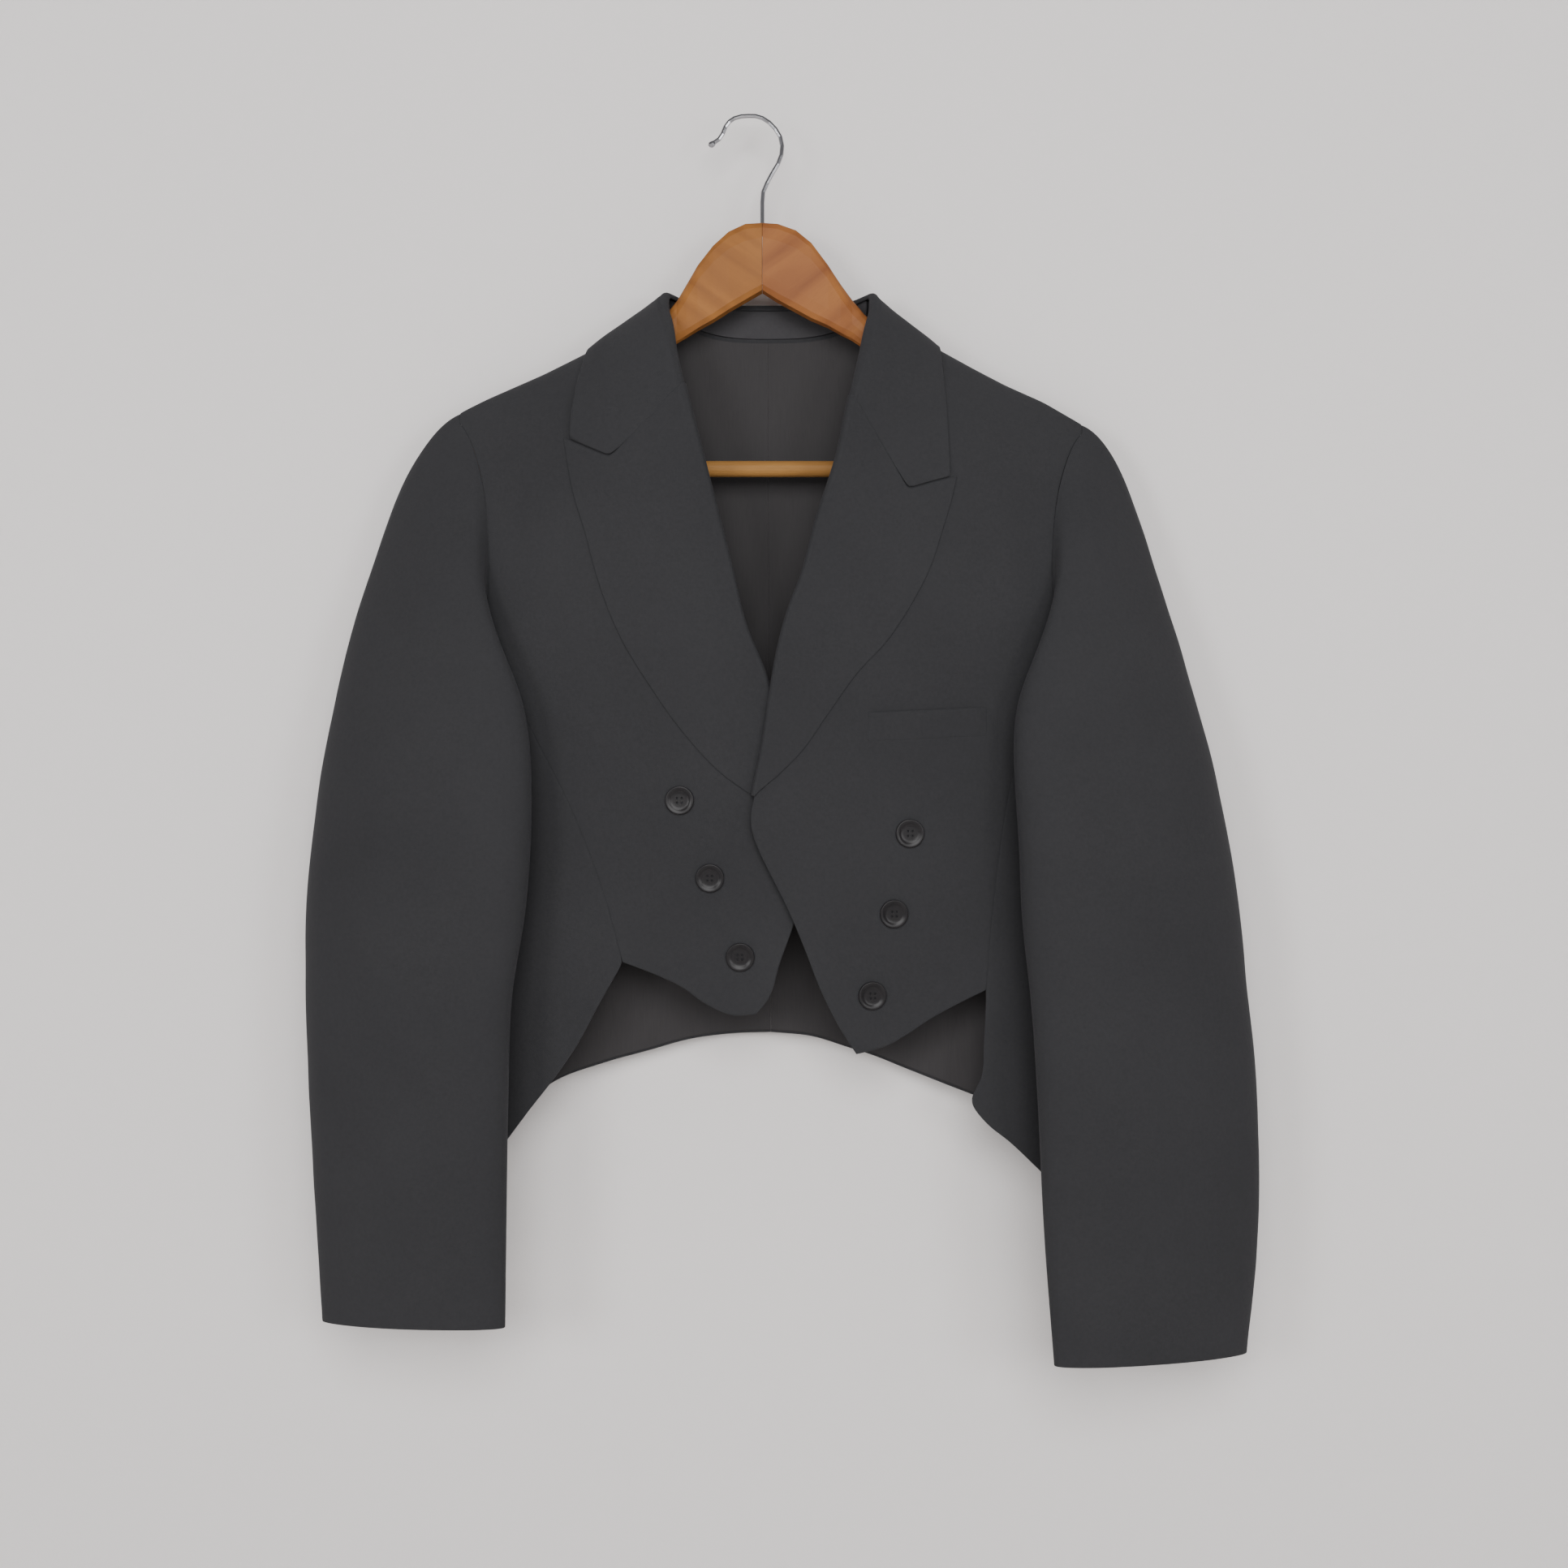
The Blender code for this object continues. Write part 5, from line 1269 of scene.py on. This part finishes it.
def clear_of_body(point, clearance):
    """Moves a point of a sleeve out of the body's form, grown by the clearance."""
    across, depth, height = point
    half_width, middle, front_depth, back_depth = (float(v) for v in level(height))
    drop = max(float(shoulder_height(across)) - height, 0.0)
    if drop < SHOULDER_FREE and abs(across - CENTRE) > WIDEST - SHOULDER_STRIP:
        return np.array(point, float)
    for _ in range(8):
        back = depth > middle
        reach = BACK_REACH if back else FRONT_REACH
        power = BACK_POWER if back else FRONT_POWER
        rise = (1.0 - (1.0 - min(drop / reach, 1.0)) ** 2) ** power
        deep = (back_depth if back else front_depth) * rise + clearance
        wide = half_width + clearance
        share = abs(across - CENTRE) / wide
        part = abs(depth - middle) / deep
        excess = share**FULLNESS + part**FULLNESS - 1.0
        if excess >= 0.0:
            break
        slope_x = FULLNESS * share ** (FULLNESS - 1) / wide * math.copysign(1, across - CENTRE)
        slope_y = FULLNESS * part ** (FULLNESS - 1) / deep * math.copysign(1, depth - middle)
        move = -excess / max(slope_x**2 + slope_y**2, 1e-9)
        across += move * slope_x
        depth += move * slope_y
    return np.array([across, depth, height])


def sleeve_point(table, share, turn):
    row = smooth(table, share)[0]
    outer, inner = row[0:3], row[3:6]
    centre = (outer + inner) / 2
    outward = outer - centre
    flat = math.hypot(outward[0], outward[1])
    forward = np.array([outward[1], -outward[0], 0.0]) / flat
    forward = forward * -np.sign(forward[1]) * row[6]
    angle = math.radians(turn)
    point = centre + outward * math.cos(angle) + forward * math.sin(angle)
    part = min(max((turn - UNDER_TURNS[0]) / (UNDER_TURNS[1] - UNDER_TURNS[0]), 0.0), 1.0)
    fade = max(1.0 - share / UNDER_FADE, 0.0) ** 2
    point[2] -= UNDER_DROP * math.sin(math.pi * part) ** 2 * fade
    return point


def untwisted(turn):
    """Turn on the rings at which a strake from this turn of the armhole runs down."""
    guess = turn
    for _ in range(30):
        guess = turn + SLEEVE_TWIST * math.sin(math.radians(guess) / 2) ** 2
    return guess


def sleeve_strake(turn, side):
    table = LEFT_SLEEVE if side == LEFT else RIGHT_SLEEVE
    lower = untwisted(turn)
    tangent = unit(armhole_point(turn + 2.0, side) - armhole_point(turn - 2.0, side))
    apart = np.array([side, 0.0, 0.0]) - side * tangent[0] * tangent
    start = armhole_point(turn, side) + unit(apart) * ARMHOLE_GAP
    first = sleeve_point(table, 0.0, lower)
    second = sleeve_point(table, SECOND_RING, lower)
    chord = np.linalg.norm(first - start)
    lateral, forward, down = table_at(SLEEVE_START, turn % FULL_TURN)[0]
    start_way = np.array([side * lateral, -forward, -down]) * chord * START_PULL
    swell = END_SWELL * max(math.cos(math.radians(turn)), 0.0)
    end_way = unit(second - first) * chord * (END_PULL + swell)
    points = []
    for t in np.concatenate([[0.0, FIRST_ROW], np.arange(1, CAP_ROWS + 1) / CAP_ROWS]):
        t = t**ROW_SPACING
        point = (2 * t**3 - 3 * t**2 + 1) * start + (t**3 - 2 * t**2 + t) * start_way
        point = point + (3 * t**2 - 2 * t**3) * first + (t**3 - t**2) * end_way
        clearance = SLEEVE_CLEARANCE * min(t / CLEAR_START, 1.0)
        points.append(clear_of_body(point, clearance) if t > 0 else point)
    for share in spread(LENGTH_ROWS)[2:]:
        points.append(clear_of_body(sleeve_point(table, share, lower), SLEEVE_CLEARANCE))
    return np.array(points)


# across and height of one end, across and height of the other, height over the cloth, half width
LEFT_ARM_CREASES = (
    (-205, -246, -188, -330, -1.8, 9), (-222, -240, -226, -380, 1.2, 15), (-246, -300, -262, -450, -1.0, 14),
    (-176, -400, -170, -560, 1.3, 12), (-214, -430, -206, -600, -1.1, 17), (-262, -470, -272, -640, 0.9, 16),
    (-178, -600, -222, -640, -1.3, 11), (-186, -640, -240, -668, 1.1, 12), (-196, -690, -262, -672, -0.9, 12),
    (-240, -690, -236, -830, 0.8, 18), (-196, -720, -200, -840, -0.8, 14), (-272, -700, -268, -820, -0.7, 13),
)
RIGHT_ARM_CREASES = (
    (228, -240, 222, -352, -1.8, 9), (246, -250, 252, -380, 1.1, 14), (272, -300, 288, -450, -1.0, 14),
    (205, -400, 206, -560, 1.4, 12), (246, -420, 242, -610, -1.0, 18), (298, -470, 312, -650, 0.9, 16),
    (212, -620, 262, -650, -1.2, 11), (222, -655, 286, -676, 1.0, 12), (236, -705, 300, -690, -0.9, 12),
    (280, -700, 286, -850, 0.8, 18), (236, -730, 240, -860, -0.8, 14), (322, -720, 318, -840, -0.7, 13),
)


def sleeve_fold(points, normals, side):
    """Creases of the sleeve. The back's are the front's, moved aside, and the side at the body has few."""
    across, height = points[..., 0], points[..., 2]
    creases = LEFT_ARM_CREASES if side == LEFT else RIGHT_ARM_CREASES
    facing = np.clip(-normals[..., 1] * 1.6 + 0.3, 0, 1)
    behind = np.clip(normals[..., 1] * 1.6 + 0.1, 0, 1)
    clear_side = np.clip(normals[..., 0] * side + 0.75, 0, 1)
    back_creases = [(x1 + 9 * side, z1 - 26, x2 + 4 * side, z2 - 18, lift, width)
                    for x1, z1, x2, z2, lift, width in creases]
    fold = facing * crease_height(across, height, creases)
    fold = fold + behind * crease_height(across, height, back_creases)
    fold = fold + unevenness(points, SLEEVE_UNEVEN)
    fade_in = np.clip(np.arange(points.shape[1]) / 8, 0, 1)
    return fold * clear_side * fade_in[None]


def eased(strakes):
    """Softens the strakes where the cap goes over into the sleeve."""
    rows = np.arange(strakes.shape[1])
    weight = np.exp(-(((rows - CAP_ROWS - 1) / EASE_REACH) ** 2))[None, 1:-1, None]
    for _ in range(EASE_ROUNDS):
        mean = (strakes[:, 2:] + strakes[:, :-2]) / 2
        strakes[:, 1:-1] += 0.5 * weight * (mean - strakes[:, 1:-1])
    return strakes


def sleeve_walls(side):
    turns = np.concatenate([
        np.linspace(0.0, FRONT_SEAM_TURN, SIDE_STRAKES, endpoint=False),
        np.linspace(FRONT_SEAM_TURN, BACK_SEAM_TURN, UNDER_STRAKES, endpoint=False),
        np.linspace(BACK_SEAM_TURN, FULL_TURN, SIDE_STRAKES, endpoint=False),
    ])
    strakes = eased(np.array([sleeve_strake(turn, side) for turn in turns]))
    around = np.roll(strakes, -1, axis=0) - np.roll(strakes, 1, axis=0)
    along = np.gradient(strakes, axis=1)
    normals = unit(np.cross(around, along) * side)
    for j, turn in enumerate(turns):
        tangent = armhole_point(turn + 2.0, side) - armhole_point(turn - 2.0, side)
        normals[j, 0] = unit(np.cross(tangent, np.array([side, 0.0, 0.0])) * side)
        normals[j, 1] = unit(normals[j, 0] + 0.3 * normals[j, 2])
    fold = sleeve_fold(strakes, normals, side)
    return turns, strakes + normals * fold[..., None], normals


# %% Sleeves
for side, word in WORDS.items():
    turns, strakes, normals = sleeve_walls(side)
    count = len(turns)
    first_seam = int(np.argmin(np.abs(turns - TOP_SEAM)))
    second_seam = int(np.argmin(np.abs(turns - UNDER_SEAM)))
    spans = {
        "under": list(range(first_seam, second_seam + 1)),
        "top": list(range(second_seam, count)) + list(range(0, first_seam + 1)),
    }
    for part, span in spans.items():
        outside = strakes[span].copy()
        along = normals[span]
        for end, beside in ((0, 1), (-1, -2)):
            inward = outside[beside] - outside[end]
            outside[end] += unit(inward) * SLEEVE_SEAM
        inside = outside - along * CLOTH
        outside[0] -= along[0] * SEAM_DIP
        outside[-1] -= along[-1] * SEAM_DIP
        cloth_piece(f"sleeve_{part}_cloth_{word}", f"sleeve_{part}_{word}", outside.transpose(1, 0, 2),
                    inside.transpose(1, 0, 2), "hung", ["front_cloth_" + word], shut=("low", "left", "right"))

# %% [markdown]
# ## Back lining and breast welt
# Through the open neck the lining of the back shows. It is fuller than the cloth, so it ripples in
# fine upright wrinkles below the hanger's bar. It lies on the back's inner face, ends above the back's
# hem, and stops short of the shoulder seams. The breast pocket is only a welt, a folded strip of wool
# with its free edge on top.

# %% Lining
# How far its lowest two rows move up toward the back's fourth, how many rows fewer it has, how many
# rows it ends below the back's top, how far it rises again at the neck, and up to which share of the
# width. Then how far it lies off the back, and its columns.
LINING_HEM = (0.16, 0.14)
LINING_SHORTER = 5
LINING_TOP = 7
NECK_RISE = 5.6
NECK_SIDE = 0.34
NECK_FADE = 0.08
LINING_LIFT = 0.25
LINING_COLUMNS = 40


def wrinkles(across, height):
    """Fine upright ripples of the lining, strongest in the middle."""
    wave = np.sin(across / 3.1 + 0.9 * np.sin(height / 41)) + 0.6 * np.sin(across / 5.3 + height / 67 + 1.1)
    middle = np.exp(-(((across - CENTRE) / 75) ** 2))
    lower = np.clip((-235 - height) / 60, 0, 1) * np.clip((height + 640) / 60, 0, 1)
    return 0.22 * wave * middle * lower


def cropped(grid, tops):
    """The grid's columns, each ended at its own mark along the rows."""
    marks = np.linspace(0, 1, len(grid) - LINING_SHORTER)[:, None] * tops[None]
    low = np.minimum(marks.astype(int), len(grid) - 2)
    part = (marks - low)[..., None]
    columns = np.arange(len(tops))[None]
    return grid[low, columns] * (1 - part) + grid[low + 1, columns] * part


for side, word in WORDS.items():
    walls = [grid.copy() for grid in back_grids[side]]
    for rows in walls:
        for i, share in enumerate(LINING_HEM):
            rows[i] += (rows[3] - rows[i]) * share
    neck_share = np.clip((NECK_SIDE - spread(LINING_COLUMNS)[:LINING_COLUMNS]) / NECK_FADE, 0, 1)
    outer, inner = (cropped(rows, len(rows) - 1 - LINING_TOP + NECK_RISE * neck_share) for rows in walls)
    way = unit(inner - outer)
    ripple = wrinkles(inner[..., 0], inner[..., 2])[..., None]
    rise = np.clip((np.arange(len(inner)) - len(inner) + 4) / 3, 0, 1)[:, None, None]
    outside = inner + way * ((GAP + LINING_LIFT + ripple) * (1 - 0.6 * rise))
    inside = outside + way * LINING * (1 - 0.5 * rise)
    cloth_piece("lining_cloth_" + word, "lining_" + word, inside, outside, "hung", ["back_cloth_" + word],
                shut=("left", "high"), finish=satin, slot="lining")

# %% Breast welt
WELT_CORNERS = ((84.0, -426.0), (167.0, -422.0))
WELT_HEIGHT = 20.0
WELT_LIFT = 0.1
left, right = (np.array(c) for c in WELT_CORNERS)
u, v = np.meshgrid(spread(24), spread(8))
across = left[0] + (right[0] - left[0]) * u
height = left[1] + (right[1] - left[1]) * u - WELT_HEIGHT * (1 - v)
rise = np.clip(v / 0.8, 0, 1) * np.clip(np.minimum(u, 1 - u) * 12, 0, 1)
lift = WELT_LIFT + (GAP + LAPEL) * rise
outside = front_place(across, height, RIGHT, lift)
inside = front_place(across, height, RIGHT, lift - LAPEL)
cloth_piece("breast_welt_cloth", "breast_welt", outside, inside, "laid", ["front_cloth_right"])

# %% [markdown]
# ## Buttons
# The jacket closes with polished horn buttons: a disc turned on a lathe, with a raised round rim and a
# dished middle with four holes. One is shaped from a cylinder by insets and moves of its top face. The
# others are copies of it, each turned to lie on the cloth under it.

# %% One button
BUTTON_RADIUS = 9.9
BUTTON_HEIGHT = 3.3
BUTTON_GAP = 0.6
BUTTON_SIDES = 64
# Width of each ring from the rim inwards, and how far the face drops there. The back has one flat ring.
BACK_RING = 1.4
BUTTON_RINGS = ((0.9, 0.0), (1.3, -0.12), (0.9, -0.4), (0.8, -0.2), (1.6, -0.05))
RIM_ROUNDING = 0.5
HOLE_RADIUS = 0.85
HOLE_OFFSET = 1.6
HOLE_DEPTH = 6.0
HOLE_MIDDLE = 1.5
BUTTON_PLACES = (
    ("left", ((-47, -487), (-26, -541), (-5, -596))),
    ("right", ((113, -510), (102, -566), (87, -623))),
)


def only(obj):
    bpy.ops.object.select_all(action="DESELECT")
    obj.select_set(True)
    bpy.context.view_layer.objects.active = obj


def pick_faces(obj, test):
    """Selects the faces that pass a test, in edit mode."""
    bpy.ops.object.mode_set(mode="OBJECT")
    for part in (obj.data.vertices, obj.data.edges, obj.data.polygons):
        part.foreach_set("select", [False] * len(part))
    for face in obj.data.polygons:
        if test(face):
            face.select = True
    bpy.ops.object.mode_set(mode="EDIT")


def make_button():
    bpy.ops.object.select_all(action="DESELECT")
    bpy.ops.mesh.primitive_cylinder_add(
        vertices=BUTTON_SIDES, radius=BUTTON_RADIUS * MM, depth=BUTTON_HEIGHT * MM,
        location=(0, 0, BUTTON_HEIGHT / 2 * MM), end_fill_type="NGON")
    button = bpy.context.object
    bpy.ops.object.mode_set(mode="EDIT")
    bpy.ops.mesh.select_mode(type="FACE")
    for inset, drop in BUTTON_RINGS:
        pick_faces(button, lambda face: face.normal.z > 0.9 and len(face.vertices) == BUTTON_SIDES)
        bpy.ops.mesh.inset(thickness=inset * MM)
        bpy.ops.transform.translate(value=(0, 0, drop * MM))
    pick_faces(button, lambda face: face.normal.z < -0.9)
    bpy.ops.mesh.inset(thickness=BACK_RING * MM)
    bpy.ops.object.mode_set(mode="OBJECT")
    rounding = button.modifiers.new("rim", "BEVEL")
    rounding.width = RIM_ROUNDING * MM
    rounding.segments = 3
    rounding.limit_method = "ANGLE"
    rounding.angle_limit = math.radians(50)
    only(button)
    bpy.ops.object.modifier_apply(modifier="rim")
    print("button faces before its holes:", len(button.data.polygons))
    return button


def drill_holes(button):
    """Four sewing holes: small cylinders are cut out of the dish."""
    for x in (-1, 1):
        for y in (-1, 1):
            bpy.ops.object.select_all(action="DESELECT")
            bpy.ops.mesh.primitive_cylinder_add(
                vertices=16, radius=HOLE_RADIUS * MM, depth=HOLE_DEPTH * MM,
                location=(x * HOLE_OFFSET * MM, y * HOLE_OFFSET * MM, HOLE_MIDDLE * MM))
            drill = bpy.context.object
            cutting = button.modifiers.new("hole", "BOOLEAN")
            cutting.operation = "DIFFERENCE"
            cutting.solver = "EXACT"
            cutting.object = drill
            only(button)
            bpy.ops.object.modifier_apply(modifier="hole")
            bpy.data.objects.remove(drill, do_unlink=True)
    bpy.ops.object.shade_smooth_by_angle(angle=math.radians(35))


first_button = make_button()
drill_holes(first_button)

# %% Six buttons on the fronts
BUTTON_REST = 5.0


def front_normal(across, height, side):
    """Way that a button faces, from the cloth at both sides of its middle."""
    step = BUTTON_REST
    sideways = front_place(across + step, height, side, 0.0) - front_place(across - step, height, side, 0.0)
    upwards = front_place(across, height + step, side, 0.0) - front_place(across, height - step, side, 0.0)
    return unit(np.cross(sideways, upwards))


for word, places in BUTTON_PLACES:
    side = LEFT if word == "left" else RIGHT
    for number, (across, height) in enumerate(places, 1):
        name = f"button_{word}_{number}"
        button = first_button.copy()
        button.data = first_button.data.copy()
        button.name = f"horn_button_{word}_{number}"
        bpy.context.scene.collection.objects.link(button)
        button.data.materials.clear()
        button.data.materials.append(horn)
        place = front_place(across, height, side, BUTTON_GAP)
        button.rotation_euler = Vector(front_normal(across, height, side)).to_track_quat("Z", "Y").to_euler()
        button.location = Vector(place) * MM
        only(button)
        bpy.ops.object.transform_apply(location=True, rotation=True, scale=True)
        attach(button, "root")
        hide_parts(name)
bpy.data.objects.remove(first_button, do_unlink=True)
print("buttons:", sum(len(places) for word, places in BUTTON_PLACES))

# %% [markdown]
# ## Hanger
# The hanger's arms, bar and hook are turned or bent parts with the right shape in the frame already,
# so they stay and only get their finishes.

# %% Hanger finishes
HANGER_FINISHES = {
    "hanger_arm_left": beech_left, "hanger_arm_right": beech_right, "hanger_bar": beech_bar,
    "hanger_hook": chrome,
}
for name, finish in HANGER_FINISHES.items():
    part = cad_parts[name]
    part.data.materials.clear()
    part.data.materials.append(finish)
print("finished:", ", ".join(HANGER_FINISHES))
